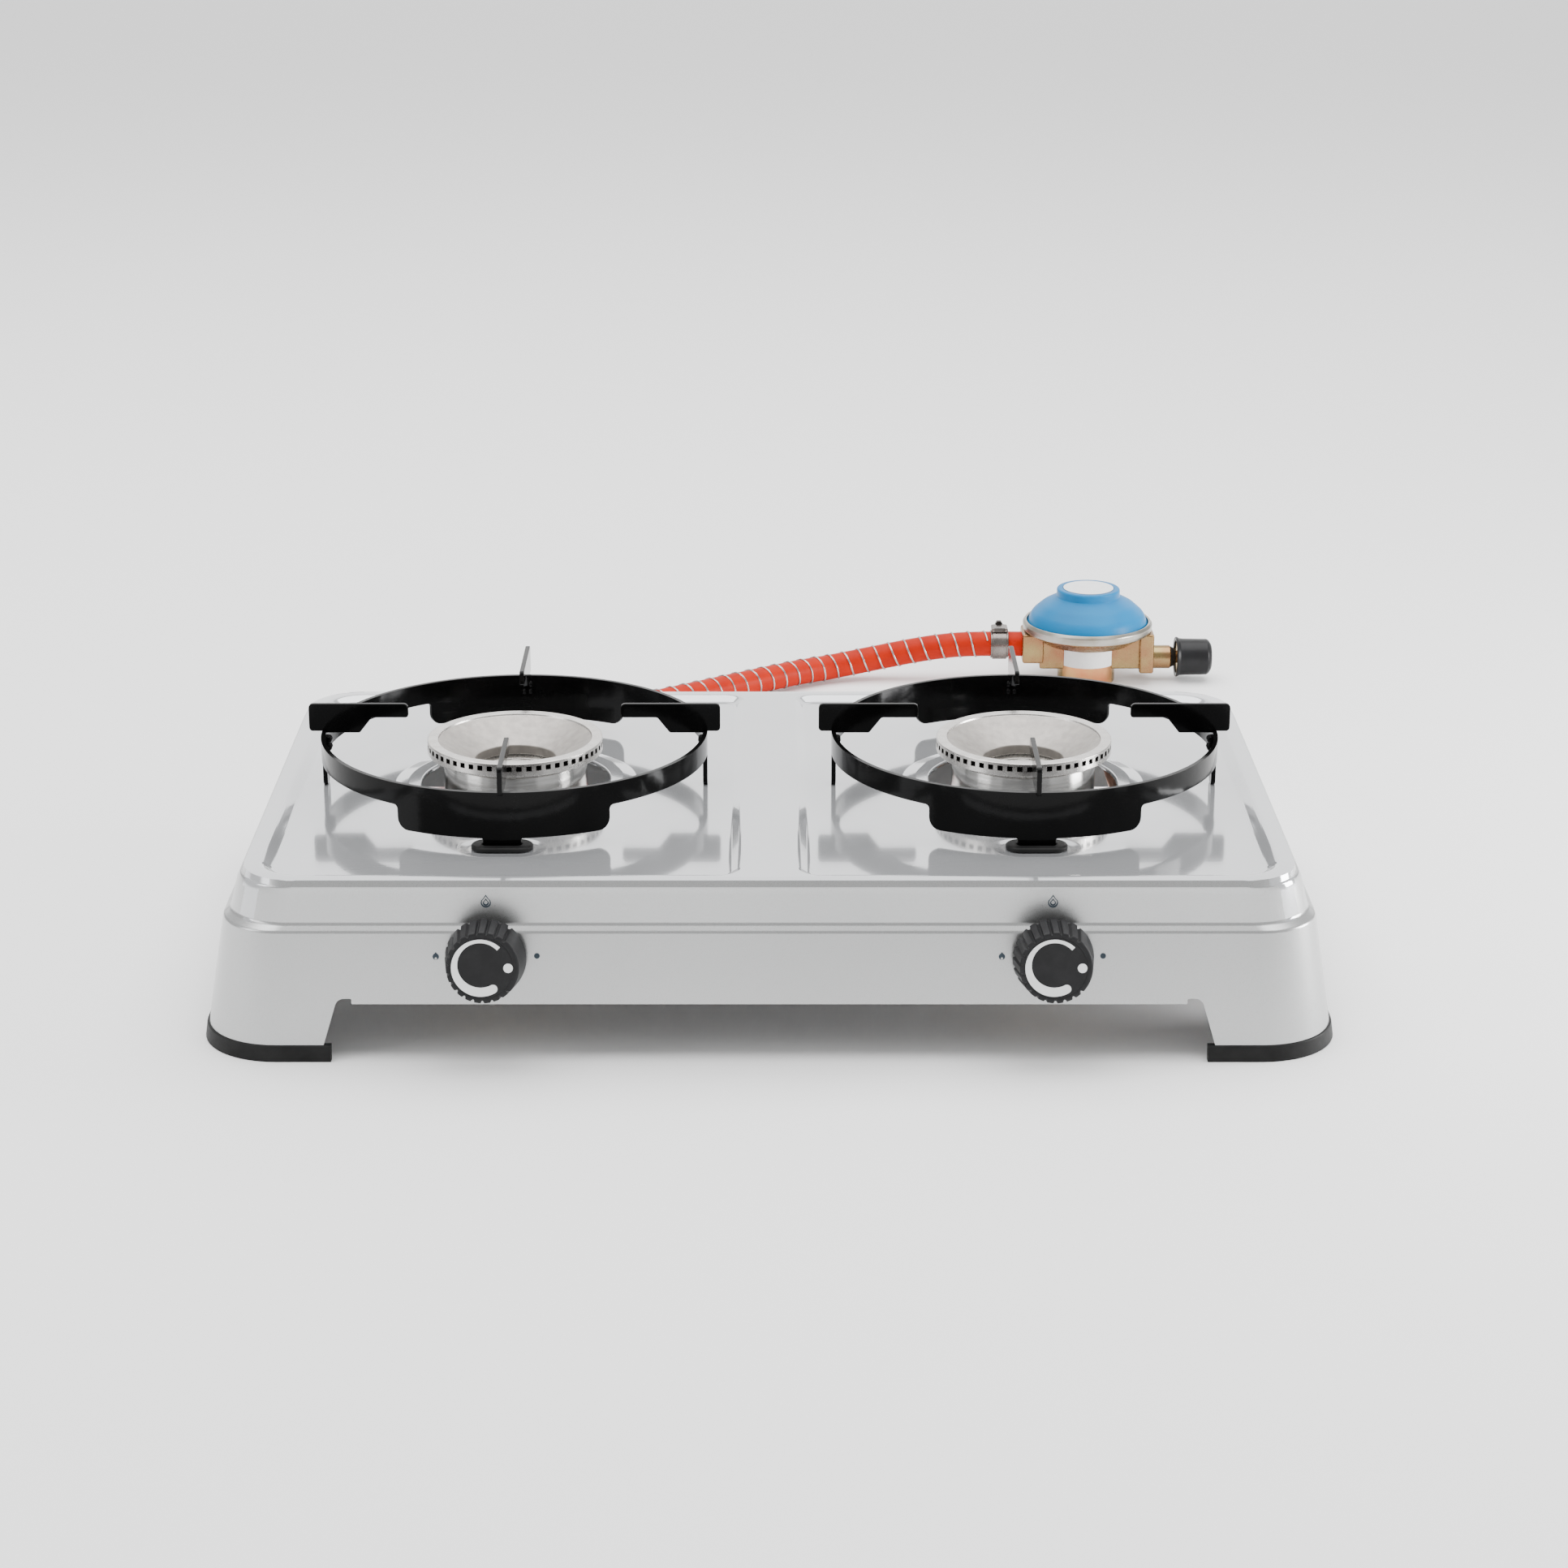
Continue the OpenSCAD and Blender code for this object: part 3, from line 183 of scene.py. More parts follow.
# The top and the walls carry one lacquer in two copies: the wall copy's darker colour is painted shade.
HOB_GLOSS = Finish("hob top lacquer", (0.56, 0.57, 0.585), (0.53, 0.54, 0.555),
                   Grain.FLECK, 9.0, (0.08, 0.12), metallic=0.6, coat=0.6, coat_roughness=0.02, bump=0.001)
HOB_WALL_SHADE = Finish("hob wall lacquer with painted shade", (0.48, 0.485, 0.485), (0.45, 0.455, 0.455),
                   Grain.FLECK, 9.0, (0.25, 0.31), metallic=0.85, coat=0.2, coat_roughness=0.08, bump=0.003)
# The inner face of the shell is painted dark grey: painted shade under the hob.
HOB_INSIDE_SHADE = Finish("hob inside painted shade", (0.10, 0.10, 0.105), (0.14, 0.14, 0.14),
                    Grain.FLECK, 30.0, (0.45, 0.55), metallic=0.4, bump=0.01)
RUBBER = Finish("black trim rubber", (0.010, 0.010, 0.010), (0.016, 0.016, 0.016),
                Grain.SOFT, 90.0, (0.42, 0.58), bump=0.03, specular=0.13)
ENAMEL = Finish("black enamel", (0.0015, 0.0015, 0.0015), (0.003, 0.003, 0.003),
                Grain.CLOUDS, 40.0, (0.08, 0.14), bump=0.03, specular=0.1)
CAST = Finish("cast burner alloy", (0.39, 0.365, 0.34), (0.32, 0.30, 0.28),
              Grain.CAST, 260.0, (0.42, 0.6), metallic=0.8, bump=0.05)
MACHINED = Finish("machined burner rim", (0.62, 0.60, 0.57), (0.52, 0.50, 0.48),
                  Grain.BRUSHED, 200.0, (0.22, 0.34), metallic=0.95, bump=0.01)
# Near-black for the hollows inside the burners: painted shade.
HOLLOW_SHADE = Finish("burner inside painted shade", (0.02, 0.018, 0.016), (0.035, 0.03, 0.027),
              Grain.CAST, 200.0, (0.6, 0.75), metallic=0.3, bump=0.03, specular=0.2)
CUP_STEEL = Finish("burner cup steel", (0.58, 0.57, 0.55), (0.44, 0.43, 0.41),
                   Grain.BRUSHED, 60.0, (0.11, 0.2), metallic=1.0, bump=0.008, stretch=(1.0, 1.0, 14.0))
PLATED = Finish("zinc plated steel", (0.58, 0.57, 0.54), (0.44, 0.43, 0.41),
                Grain.CLOUDS, 160.0, (0.25, 0.4), metallic=0.95, bump=0.01)
SHEET = Finish("rolled bracket steel", (0.42, 0.42, 0.41), (0.32, 0.32, 0.31),
               Grain.BRUSHED, 40.0, (0.35, 0.5), metallic=0.9, bump=0.01, stretch=(1.0, 8.0, 1.0))
BRASS = Finish("machined brass", (0.66, 0.46, 0.19), (0.5, 0.33, 0.13),
               Grain.BRUSHED, 120.0, (0.22, 0.36), metallic=1.0, bump=0.01)
COPPER = Finish("drawn copper", (0.62, 0.30, 0.17), (0.4, 0.17, 0.09),
                Grain.CLOUDS, 80.0, (0.25, 0.4), metallic=1.0, bump=0.008)
KNOB = Finish("knob plastic", (0.009, 0.009, 0.010), (0.013, 0.013, 0.014),
              Grain.FLECK, 150.0, (0.42, 0.55), bump=0.015, specular=0.22)
WHITE = Finish("white print", (0.85, 0.86, 0.86), (0.8, 0.81, 0.81),
               Grain.SOFT, 200.0, (0.45, 0.55), bump=0.004)
SLATE = Finish("slate print", (0.03, 0.045, 0.06), (0.04, 0.055, 0.07),
               Grain.SOFT, 200.0, (0.45, 0.55), bump=0.004, specular=0.2)
HOSE = Finish("orange hose", (0.44, 0.014, 0.0), (0.37, 0.010, 0.0),
              Grain.CLOUDS, 110.0, (0.42, 0.54), bump=0.03, specular=0.12)
WIRE = Finish("spring wire", (0.50, 0.49, 0.48), (0.34, 0.33, 0.32),
              Grain.CLOUDS, 200.0, (0.22, 0.35), metallic=1.0, bump=0.005)
CLAMP = Finish("clamp steel", (0.22, 0.195, 0.18), (0.15, 0.13, 0.12),
               Grain.BRUSHED, 150.0, (0.2, 0.34), metallic=1.0, bump=0.006)
DARK_STEEL = Finish("dark screw steel", (0.10, 0.09, 0.085), (0.05, 0.045, 0.04),
                    Grain.CLOUDS, 250.0, (0.3, 0.45), metallic=0.9, bump=0.01)
ZINC = Finish("yellow zinc", (0.27, 0.115, 0.06), (0.31, 0.235, 0.10),
              Grain.CLOUDS, 45.0, (0.2, 0.34), metallic=0.95, bump=0.02)
ZINC_RED = Finish("coppery zinc", (0.58, 0.17, 0.085), (0.60, 0.38, 0.15),
                  Grain.CLOUDS, 45.0, (0.18, 0.3), metallic=0.95, bump=0.01)
BLUE = Finish("blue cap plastic", (0.0, 0.150, 0.36), (0.0, 0.165, 0.385),
              Grain.SOFT, 60.0, (0.32, 0.4), bump=0.01, specular=0.14)
CRIMP = Finish("crimped steel", (0.40, 0.39, 0.365), (0.29, 0.265, 0.21),
               Grain.CLOUDS, 90.0, (0.24, 0.38), metallic=0.95, bump=0.01)
VINYL = Finish("black vinyl", (0.007, 0.007, 0.0075), (0.011, 0.011, 0.012),
               Grain.CLOUDS, 90.0, (0.3, 0.42), bump=0.02, specular=0.2)


# ---------- building ----------


def rounded(points: Sequence[Point], radius: float | Sequence[float], steps: int = 4,
            closed: bool = False) -> list[Point]:
    """Round the corners of a profile.

    Args:
        points: Corners in order.
        radius: One radius for all corners, or one each.
        steps: Facets in each rounding.
        closed: True where the last point joins the first.

    Returns:
        The rounded profile.
    """
    radii = [radius] * len(points) if isinstance(radius, (int, float)) else list(radius)
    out: list[Point] = []
    for i, corner in enumerate(points):
        here = Vector(corner)
        if not closed and i in (0, len(points) - 1) or radii[i] <= 0:
            out.append(tuple(corner))
            continue
        back = Vector(points[i - 1]) - here
        ahead = Vector(points[(i + 1) % len(points)]) - here
        half = back.angle(ahead) / 2
        if half > math.radians(89):
            out.append(tuple(corner))
            continue
        cut = min(radii[i] / math.tan(half), 0.48 * back.length, 0.48 * ahead.length)
        r = cut * math.tan(half)
        centre = here + (back.normalized() + ahead.normalized()).normalized() * (r / math.sin(half))
        start = here + back.normalized() * cut - centre
        stop = here + ahead.normalized() * cut - centre
        sweep = start.angle_signed(stop)
        for k in range(steps + 1):
            turned = start.copy()
            turned.rotate(Matrix.Rotation(-sweep * k / steps, 2))
            out.append(tuple(centre + turned))
    return out


class Shape:
    """A mesh being built, in millimetres."""

    def __init__(self) -> None:
        """Start empty."""
        self.bm = bmesh.new()

    def revolve(self, profile: Sequence[Point], steps: int = 96, material: int = 0) -> "Shape":
        """Spin a profile of radius and height about Z.

        Args:
            profile: Radius and height of each point.
            steps: Facets round.
            material: Material index.

        Returns:
            This shape.
        """
        part = bmesh.new()
        verts = [part.verts.new((r, 0.0, z)) for r, z in profile]
        edges = [part.edges.new(pair) for pair in zip(verts, verts[1:])]
        bmesh.ops.spin(part, geom=verts + edges, cent=(0, 0, 0), axis=(0, 0, 1), dvec=(0, 0, 0),
                       angle=math.tau, steps=steps, use_merge=True, use_normal_flip=False,
                       use_duplicate=False)
        bmesh.ops.remove_doubles(part, verts=part.verts, dist=0.001)
        bmesh.ops.recalc_face_normals(part, faces=part.faces)
        return self._join(part, material)

    def prism(self, outline: Sequence[Point], low: float, high: float, material: int = 0) -> "Shape":
        """Extrude an outline in XY along Z.

        Args:
            outline: Corners in order.
            low: Height of the lower face.
            high: Height of the upper face.
            material: Material index.

        Returns:
            This shape.
        """
        part = bmesh.new()
        face = part.faces.new([part.verts.new((x, y, low)) for x, y in outline])
        grown = bmesh.ops.extrude_face_region(part, geom=[face])
        top = [g for g in grown["geom"] if isinstance(g, bmesh.types.BMVert)]
        bmesh.ops.translate(part, vec=(0, 0, high - low), verts=top)
        bmesh.ops.recalc_face_normals(part, faces=part.faces)
        return self._join(part, material)

    def block(self, low: Sequence[float], high: Sequence[float], edge: float = 0.5,
              material: int = 0) -> "Shape":
        """Add a block with rounded edges.

        Args:
            low: Lowest corner.
            high: Highest corner.
            edge: Radius of the edges.
            material: Material index.

        Returns:
            This shape.
        """
        part = bmesh.new()
        bmesh.ops.create_cube(part, size=1.0)
        size = Vector(high) - Vector(low)
        bmesh.ops.scale(part, vec=size, verts=part.verts)
        bmesh.ops.translate(part, vec=(Vector(high) + Vector(low)) / 2, verts=part.verts)
        if edge:
            bmesh.ops.bevel(part, geom=part.edges[:], offset=edge, offset_type="OFFSET", segments=3,
                            profile=0.5, affect="EDGES", clamp_overlap=True, material=-1)
        return self._join(part, material)

    def _join(self, part: bmesh.types.BMesh, material: int) -> "Shape":
        """Take another mesh in.

        Args:
            part: The mesh, which is freed.
            material: Material index of its faces.

        Returns:
            This shape.
        """
        for face in part.faces:
            face.material_index = material
        return self.take(part)

    def take(self, part: bmesh.types.BMesh) -> "Shape":
        """Take another mesh in as it is, and free it."""
        held = bpy.data.meshes.new("held")
        part.to_mesh(held)
        part.free()
        self.bm.from_mesh(held)
        bpy.data.meshes.remove(held)
        return self

    def add(self, other: "Shape") -> "Shape":
        """Take another shape in."""
        return self.take(other.bm)

    def place(self, matrix: Matrix) -> "Shape":
        """Move the whole shape by a matrix."""
        bmesh.ops.transform(self.bm, matrix=matrix, verts=self.bm.verts)
        return self

    def move(self, x: float, y: float, z: float) -> "Shape":
        """Shift the whole shape."""
        return self.place(Matrix.Translation((x, y, z)))

    def turn(self, degrees: float, axis: str) -> "Shape":
        """Turn the whole shape about an axis through the origin."""
        return self.place(Matrix.Rotation(math.radians(degrees), 4, axis))

    def along_x(self, x: float, y: float, z: float) -> "Shape":
        """Lay what stands along Z down along +X, from a point."""
        return self.turn(90, "Y").move(x, y, z)

    def along_y(self, x: float, y: float, z: float) -> "Shape":
        """Lay what stands along Z down along +Y, from a point."""
        return self.turn(-90, "X").move(x, y, z)

    def carve(self, tool: "Shape", mode: str = "DIFFERENCE") -> "Shape":
        """Cut, join or cross this shape with another.

        Args:
            tool: The other shape, which is used up.
            mode: DIFFERENCE, UNION or INTERSECT.

        Returns:
            This shape.
        """
        pair = []
        for name, bm in (("carved", self.bm), ("tool", tool.bm)):
            mesh = bpy.data.meshes.new(name)
            bm.to_mesh(mesh)
            bm.free()
            pair.append(bpy.data.objects.new(name, mesh))
            bpy.context.scene.collection.objects.link(pair[-1])
        cut = pair[0].modifiers.new("cut", "BOOLEAN")
        cut.operation = mode
        cut.solver = "EXACT"
        cut.object = pair[1]
        bpy.context.view_layer.update()
        done = pair[0].evaluated_get(bpy.context.evaluated_depsgraph_get())
        self.bm = bmesh.new()
        self.bm.from_mesh(done.to_mesh())
        done.to_mesh_clear()
        for obj in pair:
            mesh = obj.data
            bpy.data.objects.remove(obj)
            bpy.data.meshes.remove(mesh)
        bmesh.ops.remove_doubles(self.bm, verts=self.bm.verts, dist=0.0005)
        return self

    def soften(self, radius: float, angle: float = 40.0, segments: int = 2) -> "Shape":
        """Bevel the edges that are sharper than an angle.

        Args:
            radius: Width of the bevel.
            angle: Least angle in degrees.
            segments: Facets across.

        Returns:
            This shape.
        """
        bmesh.ops.dissolve_limit(self.bm, angle_limit=math.radians(1), verts=self.bm.verts,
                                 edges=self.bm.edges)
        edges = [e for e in self.bm.edges if e.is_manifold and e.calc_face_angle(0) > math.radians(angle)]
        bmesh.ops.bevel(self.bm, geom=edges, offset=radius, offset_type="OFFSET", segments=segments,
                        profile=0.5, affect="EDGES", clamp_overlap=True, material=-1)
        return self

    def finish(self, name: str, finishes: Sequence[Finish], body: str, nodes: Iterable[str] = (),
               slot: str | None = None, sharp: float = 35.0) -> bpy.types.Object:
        """Turn the shape into a piece that rides on a body.

        Args:
            name: Name of the piece.
            finishes: Finishes by material index.
            body: Body that it rides on.
            nodes: CAD nodes that it stands for.
            slot: Material slot of the record; not used.
            sharp: Edges sharper than this stay crisp, in degrees.

        Returns:
            The object.
        """
        bmesh.ops.scale(self.bm, vec=(MM, MM, MM), verts=self.bm.verts)
        for face in self.bm.faces:
            face.smooth = True
        for edge in self.bm.edges:
            edge.smooth = not edge.is_manifold or edge.calc_face_angle(0) < math.radians(sharp)
        mesh = bpy.data.meshes.new(name)
        self.bm.to_mesh(mesh)
        self.bm.free()
        for finish in finishes:
            mesh.materials.append(finish.material())
        obj = bpy.data.objects.new(name, mesh)
        bpy.context.scene.collection.objects.link(obj)
        weighted = obj.modifiers.new("even shading", "WEIGHTED_NORMAL")
        weighted.keep_sharp = True
        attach(obj, body)
        if nodes:
            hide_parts(*nodes)
        LOG.info("%s: %d faces, on %s", name, len(mesh.polygons), body)
        return obj


def plug(r: float, low: float, high: float) -> list[Point]:
    """Profile of a plain round plug that only cuts."""
    return [(0, low), (r, low), (r, high), (0, high)]


def box_mm(node: str) -> tuple[Vector, Vector]:
    """Lowest and highest corner of a CAD node, in millimetres."""
    low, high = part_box(node)
    return Vector(low) / MM, Vector(high) / MM


def dress(node: str, finish: Finish) -> None:
    """Give a CAD node that stays a finish, and say so."""
    obj = frame["nodes"][node]
    obj.data.materials.clear()
    obj.data.materials.append(finish.material())
    LOG.info("%s: kept from the frame as %s", node, finish.name)


# ---------- hob ----------

# Material indexes of the pressing
TOP, WALL, INSIDE = 0, 1, 2


@dataclass
class Outline:
    """A rounded rectangle whose left and right corners may have their own radii."""

    x0: float
    x1: float
    y0: float
    y1: float
    left_r: float
    right_r: float

    def start(self, bm: bmesh.types.BMesh, z: float, steps: int) -> list[bmesh.types.BMEdge]:
        """Draw the outline as a loop of edges.

        Args:
            bm: Mesh to draw in.
            z: Height.
            steps: Facets in each corner.

        Returns:
            The loop's edges.
        """
        corners = rounded([(self.x0, self.y0), (self.x1, self.y0), (self.x1, self.y1), (self.x0, self.y1)],
                          [self.left_r, self.right_r, self.right_r, self.left_r], steps, closed=True)
        verts = [bm.verts.new((x, y, z)) for x, y in corners]
        return [bm.edges.new((verts[i - 1], verts[i])) for i in range(len(verts))]

    def corner(self, co: Vector) -> tuple[bool, bool, Vector]:
        """Which corner a point of the outline belongs to, and its direction from that corner's centre."""
        right = co.x > (self.x0 + self.x1) / 2
        back = co.y > (self.y0 + self.y1) / 2
        centre = self.centre(right, back)
        return right, back, (co.xy - centre) / (self.right_r if right else self.left_r)

    def centre(self, right: bool, back: bool) -> Vector:
        """Centre of a corner's arc."""
        r = self.right_r if right else self.left_r
        return Vector((self.x1 - r if right else self.x0 + r, self.y1 - r if back else self.y0 + r))

    def grown(self, by: float) -> "Outline":
        """The outline moved outwards all round."""
        return Outline(self.x0 - by, self.x1 + by, self.y0 - by, self.y1 + by, self.left_r + by,
                       self.right_r + by)

    def onward(self, bm: bmesh.types.BMesh, edges: list[bmesh.types.BMEdge], target: "Outline",
               z: float) -> list[bmesh.types.BMEdge]:
        """Extrude the loop to another outline.

        Args:
            bm: The mesh.
            edges: This outline's edges.
            target: Outline to reach.
            z: Its height.

        Returns:
            The new loop's edges.
        """
        grown = bmesh.ops.extrude_edge_only(bm, edges=edges)["geom"]
        for vert in [g for g in grown if isinstance(g, bmesh.types.BMVert)]:
            right, back, way = self.corner(vert.co)
            spot = target.centre(right, back) + way * (target.right_r if right else target.left_r)
            vert.co = (spot.x, spot.y, z)
        return [g for g in grown if isinstance(g, bmesh.types.BMEdge)]


@dataclass
class Hob:
    """The pressed shell, its trims and its grommets."""

    side_lean: float = 19.0
    front_lean: float = 13.0
    foot_r: float = 33.0
    rim_r: float = 24.0
    ledge_z: float = 55.0
    pan_depth: float = 2.5
    rim_flat: float = 6.8
    strip_w: float = 25.0
    slope: float = 4.0
    sheet: float = 1.2
    hole_r: float = 42.1
    collar_h: float = 1.5
    skirt_z: float = 24.5
    leg_w: float = 53.0
    leg_d: float = 50.0
    leg_slant: float = 6.0
    trim_h: float = 7.0
    corner_steps: int = 14
    spindle_hole_r: float = 5.5
    inlet_hole_r: float = 9.0
    grommet_half_w: float = 10.0
    grommet_half_d: float = 4.0
    grommet_lip: float = 1.4

    def __post_init__(self) -> None:
        """Read the shell's overall size from the frame."""
        low, high = box_mm("hob_shell")
        self.half_w, self.half_d = high.x, high.y
        self.edge_z = low.z
        self.rim_z = box_mm("support_grommets")[0].z + self.grommet_lip + self.sheet + self.pan_depth
        self.deck_z = self.rim_z - self.pan_depth
        low, high = box_mm("right_burner_cup")
        self.burner_x = (low.x + high.x) / 2
        low, high = box_mm("right_pan_ring")
        self.ring_r = (high.x - low.x) / 2 - 1

    def outline(self, side: float, front: float, z: float, extra: float = 0.0) -> Outline:
        """The wall's outline at a height.

        Args:
            side: Lean of the sides there.
            front: Lean of the front and back there.
            z: Height, which sets the corner radius.
            extra: Amount to stand outside the wall.

        Returns:
            The outline.
        """
        share = (z - self.edge_z) / (self.rim_z - self.edge_z)
        r = self.foot_r + (self.rim_r - self.foot_r) * share + extra
        w = self.half_w - side + extra
        d = self.half_d - front + extra
        return Outline(-w, w, -d, d, r, r)

    def profile(self) -> list[tuple[float, float, float]]:
        """Side lean, front lean and height up the wall, with its edges rounded."""
        side, front = self.side_lean, self.front_lean
        sides = [(0, self.edge_z), (0.47 * side, self.ledge_z), (0.63 * side, self.ledge_z + 2.5),
                 (0.80 * side, self.rim_z - 6), (0.885 * side, self.rim_z), (side + 0.8, self.rim_z)]
        fronts = [(0, self.edge_z), (0.56 * front, self.ledge_z), (0.76 * front, self.ledge_z + 2.5),
                  (0.84 * front, self.rim_z - 6), (0.92 * front, self.rim_z), (front + 0.8, self.rim_z)]
        radii = [0, 2.2, 2.6, 9.0, 2.6, 0]
        a, b = rounded(sides, radii, 5), rounded(fronts, radii, 5)
        return [(s, f, (zs + zf) / 2) for (s, zs), (f, zf) in zip(a, b)]

    def skin(self) -> bmesh.types.BMesh:
        """The outer skin of the wall and the top, one face thick."""
        bm = bmesh.new()
        path = self.profile()
        here = self.outline(*path[0])
        edges = here.start(bm, path[0][2], self.corner_steps)
        for side, front, z in path[1:]:
            target = self.outline(side, front, z)
            edges = here.onward(bm, edges, target, z)
            here = target
        rims = list(edges)
        for side in (-1, 1):
            rims += self.pan(bm, side, here)
        bmesh.ops.triangle_fill(bm, edges=rims, use_beauty=True, use_dissolve=False)
        bmesh.ops.recalc_face_normals(bm, faces=bm.faces)
        return bm

    def pan(self, bm: bmesh.types.BMesh, side: int, rim: Outline) -> list[bmesh.types.BMEdge]:
        """Press one pan into the top.

        Args:
            bm: The skin.
            side: -1 for the left pan, 1 for the right.
            rim: Outline of the rim.

        Returns:
            The edges where the pan meets the rim.
        """
        inner, outer = self.strip_w / 2, rim.x1 + 0.8 - self.rim_flat
        back = rim.y1 + 0.8 - self.rim_flat
        r_in, r_out = 9.0, self.rim_r - self.rim_flat
        base = Outline(inner, outer, -back, back, r_in, r_out)
        if side < 0:
            base = Outline(-outer, -inner, -back, back, r_out, r_in)
        steps = rounded([(-2.2, self.rim_z), (0, self.rim_z), (self.slope, self.deck_z),
                         (self.slope + 3.4, self.deck_z)],
                        [0, 3.4, 3.0, 0], 5)
        here = base.grown(2.2)
        first = edges = here.start(bm, self.rim_z, 10)
        for shrink, z in steps[1:]:
            target = base.grown(-shrink)
            edges = here.onward(bm, edges, target, z)
            here = target
        floor = list(edges)
        centre = side * self.burner_x
        hole, raised = self.hole_r, self.deck_z + self.collar_h
        collar = rounded([(hole + 14.5, self.deck_z), (hole + 12.4, self.deck_z), (hole + 6, raised),
                          (hole, raised), (hole - 0.02, raised - 1.6)], [0, 3.5, 3.5, 1.0, 0], 4)
        rings = [Outline(centre - r, centre + r, -r, r, r * 0.999, r * 0.999) for r, _ in collar]
        loop = rings[0].start(bm, collar[0][1], 24)
        floor += loop
        for ring, target, (_, z) in zip(rings, rings[1:], collar[1:]):
            loop = ring.onward(bm, loop, target, z)
        for end in (-1, 1):
            floor += self.slot(bm, centre, end * self.ring_r)
        bmesh.ops.triangle_fill(bm, edges=floor, use_beauty=True, use_dissolve=False)
        return first

    def slot(self, bm: bmesh.types.BMesh, x: float, y: float) -> list[bmesh.types.BMEdge]:
        """Sink the shallow seat and the slot of a grommet.

        Args:
            bm: The skin.
            x: Middle of the slot.
            y: Middle of the slot.

        Returns:
            The seat's outer edges.
        """
        half_w, half_d = 19.5, 12.5
        here = Outline(x - half_w, x + half_w, y - half_d, y + half_d, half_d * 0.98, half_d * 0.98)
        first = loop = here.start(bm, self.deck_z, 10)
        for shrink, drop in ((1.5, 0.12), (3.2, 0.45), (4.6, 0.6), (5.4, 0.62)):
            target = Outline(x - half_w + shrink, x + half_w - shrink, y - half_d + shrink,
                             y + half_d - shrink, (half_d - shrink) * 0.98, (half_d - shrink) * 0.98)
            loop = here.onward(bm, loop, target, self.deck_z - drop)
            here = target
        target = Outline(x - self.grommet_half_w, x + self.grommet_half_w,
                         y - self.grommet_half_d, y + self.grommet_half_d, 3.9, 3.9)
        here.onward(bm, loop, target, self.deck_z - 0.62)
        return first

    def arch(self, half_w: float) -> list[Point]:
        """Outline of the opening between two legs.

        Args:
            half_w: Half the opening's width at the floor.

        Returns:
            Its corners, as distance along the wall and height.
        """
        top = half_w - self.leg_slant
        step = self.skirt_z + 2.3
        right = rounded([(half_w + 2.4, -3), (half_w, self.trim_h), (top, step), (top - 6, step),
                         (top - 6, self.skirt_z), (0, self.skirt_z)], [0, 0, 5, 0.6, 0.4, 0], 6)[:-1]
        return right + [(-x, z) for x, z in reversed(right)]

    def build(self) -> None:
        """Build the shell, the trims and the grommets."""
        skin = self.skin()
        mesh = bpy.data.meshes.new("skin")
        skin.to_mesh(mesh)
        skin.free()
        obj = bpy.data.objects.new("skin", mesh)
        bpy.context.scene.collection.objects.link(obj)
        wall = obj.modifiers.new("wall", "SOLIDIFY")
        wall.thickness = self.sheet
        wall.offset = -1
        wall.use_even_offset = True
        wall.thickness_clamp = 2.0
        # The inner faces take the dark inside finish: painted shade.
        wall.material_offset = 2
        bpy.context.view_layer.update()
        done = obj.evaluated_get(bpy.context.evaluated_depsgraph_get())
        shell = Shape()
        shell.bm.from_mesh(done.to_mesh())
        done.to_mesh_clear()
        bpy.data.objects.remove(obj)
        bpy.data.meshes.remove(mesh)
        # The cut faces take the dark inside finish, with its painted shade.
        for half, reach, turned in ((self.half_w - self.leg_w, 170, 0), (self.half_d - self.leg_d, 260, 90)):
            opening = Shape().prism(self.arch(half), -reach, reach, INSIDE)
            shell.carve(opening.turn(90, "X").turn(turned, "Z"))
        for side in ("left", "right"):
            hole = Shape().revolve(plug(self.spindle_hole_r, -12, 12), 48, INSIDE)
            shell.carve(hole.place(knob_place(side)))
        low, high = box_mm("inlet_nozzle")
        hole = Shape().revolve(plug(self.inlet_hole_r, 0, 40), 48, INSIDE)
        shell.carve(hole.along_y((low.x + high.x) / 2, self.half_d - 28.5, (low.z + high.z) / 2))
        # Faces on the walls below the rim take the darker wall copy of the lacquer: painted shade.
        for face in shell.bm.faces:
            centre = face.calc_center_median()
            beside = (abs(centre.x) > self.half_w - self.side_lean - 1
                      or abs(centre.y) > self.half_d - self.front_lean - 1)
            if face.material_index == TOP and beside and centre.z < self.rim_z - 0.6:
                face.material_index = WALL
        shell.finish("hob_pressing", (HOB_GLOSS, HOB_WALL_SHADE, HOB_INSIDE_SHADE), "stove",
                     ["hob_shell"], "hob_steel", 28.0)
        for sx in (-1, 1):
            for sy in (-1, 1):
                self.trim(sx, sy)
        self.grommets()

    def trim(self, sx: int, sy: int) -> None:
        """Build the rubber strip of one corner.

        Args:
            sx: -1 for the left, 1 for the right.
            sy: -1 for the front, 1 for the rear.
        """
        bm = bmesh.new()
        up = (self.trim_h - self.edge_z) / (self.ledge_z - self.edge_z)
        side, front = 0.47 * self.side_lean * up, 0.56 * self.front_lean * up
        ring = rounded([(1.0, 0.0), (1.0, self.trim_h), (-2.7, self.trim_h), (-2.7, 0.0)],
                       [0.4, 0.7, 0.5, 0.3], 3, closed=True)
        here = None
        edges: list[bmesh.types.BMEdge] = []
        for out, z in ring + ring[:1]:
            share = max(0.0, z - self.edge_z) / (self.trim_h - self.edge_z)
            target = self.outline(side * share, front * share, self.edge_z, out)
            if here is None:
                edges = target.start(bm, z, self.corner_steps)
            else:
                edges = here.onward(bm, edges, target, z)
            here = target
        bmesh.ops.remove_doubles(bm, verts=bm.verts, dist=0.001)
        name = f"{'front' if sy < 0 else 'rear'}_{'left' if sx < 0 else 'right'}"
        low, high = box_mm(f"{name}_foot_trim")
        end_x = low.x if sx > 0 else high.x
        end_y = low.y if sy > 0 else high.y
        for co, no in (((end_x, 0, 0), (sx, 0, 0)), ((0, end_y, 0), (0, sy, 0))):
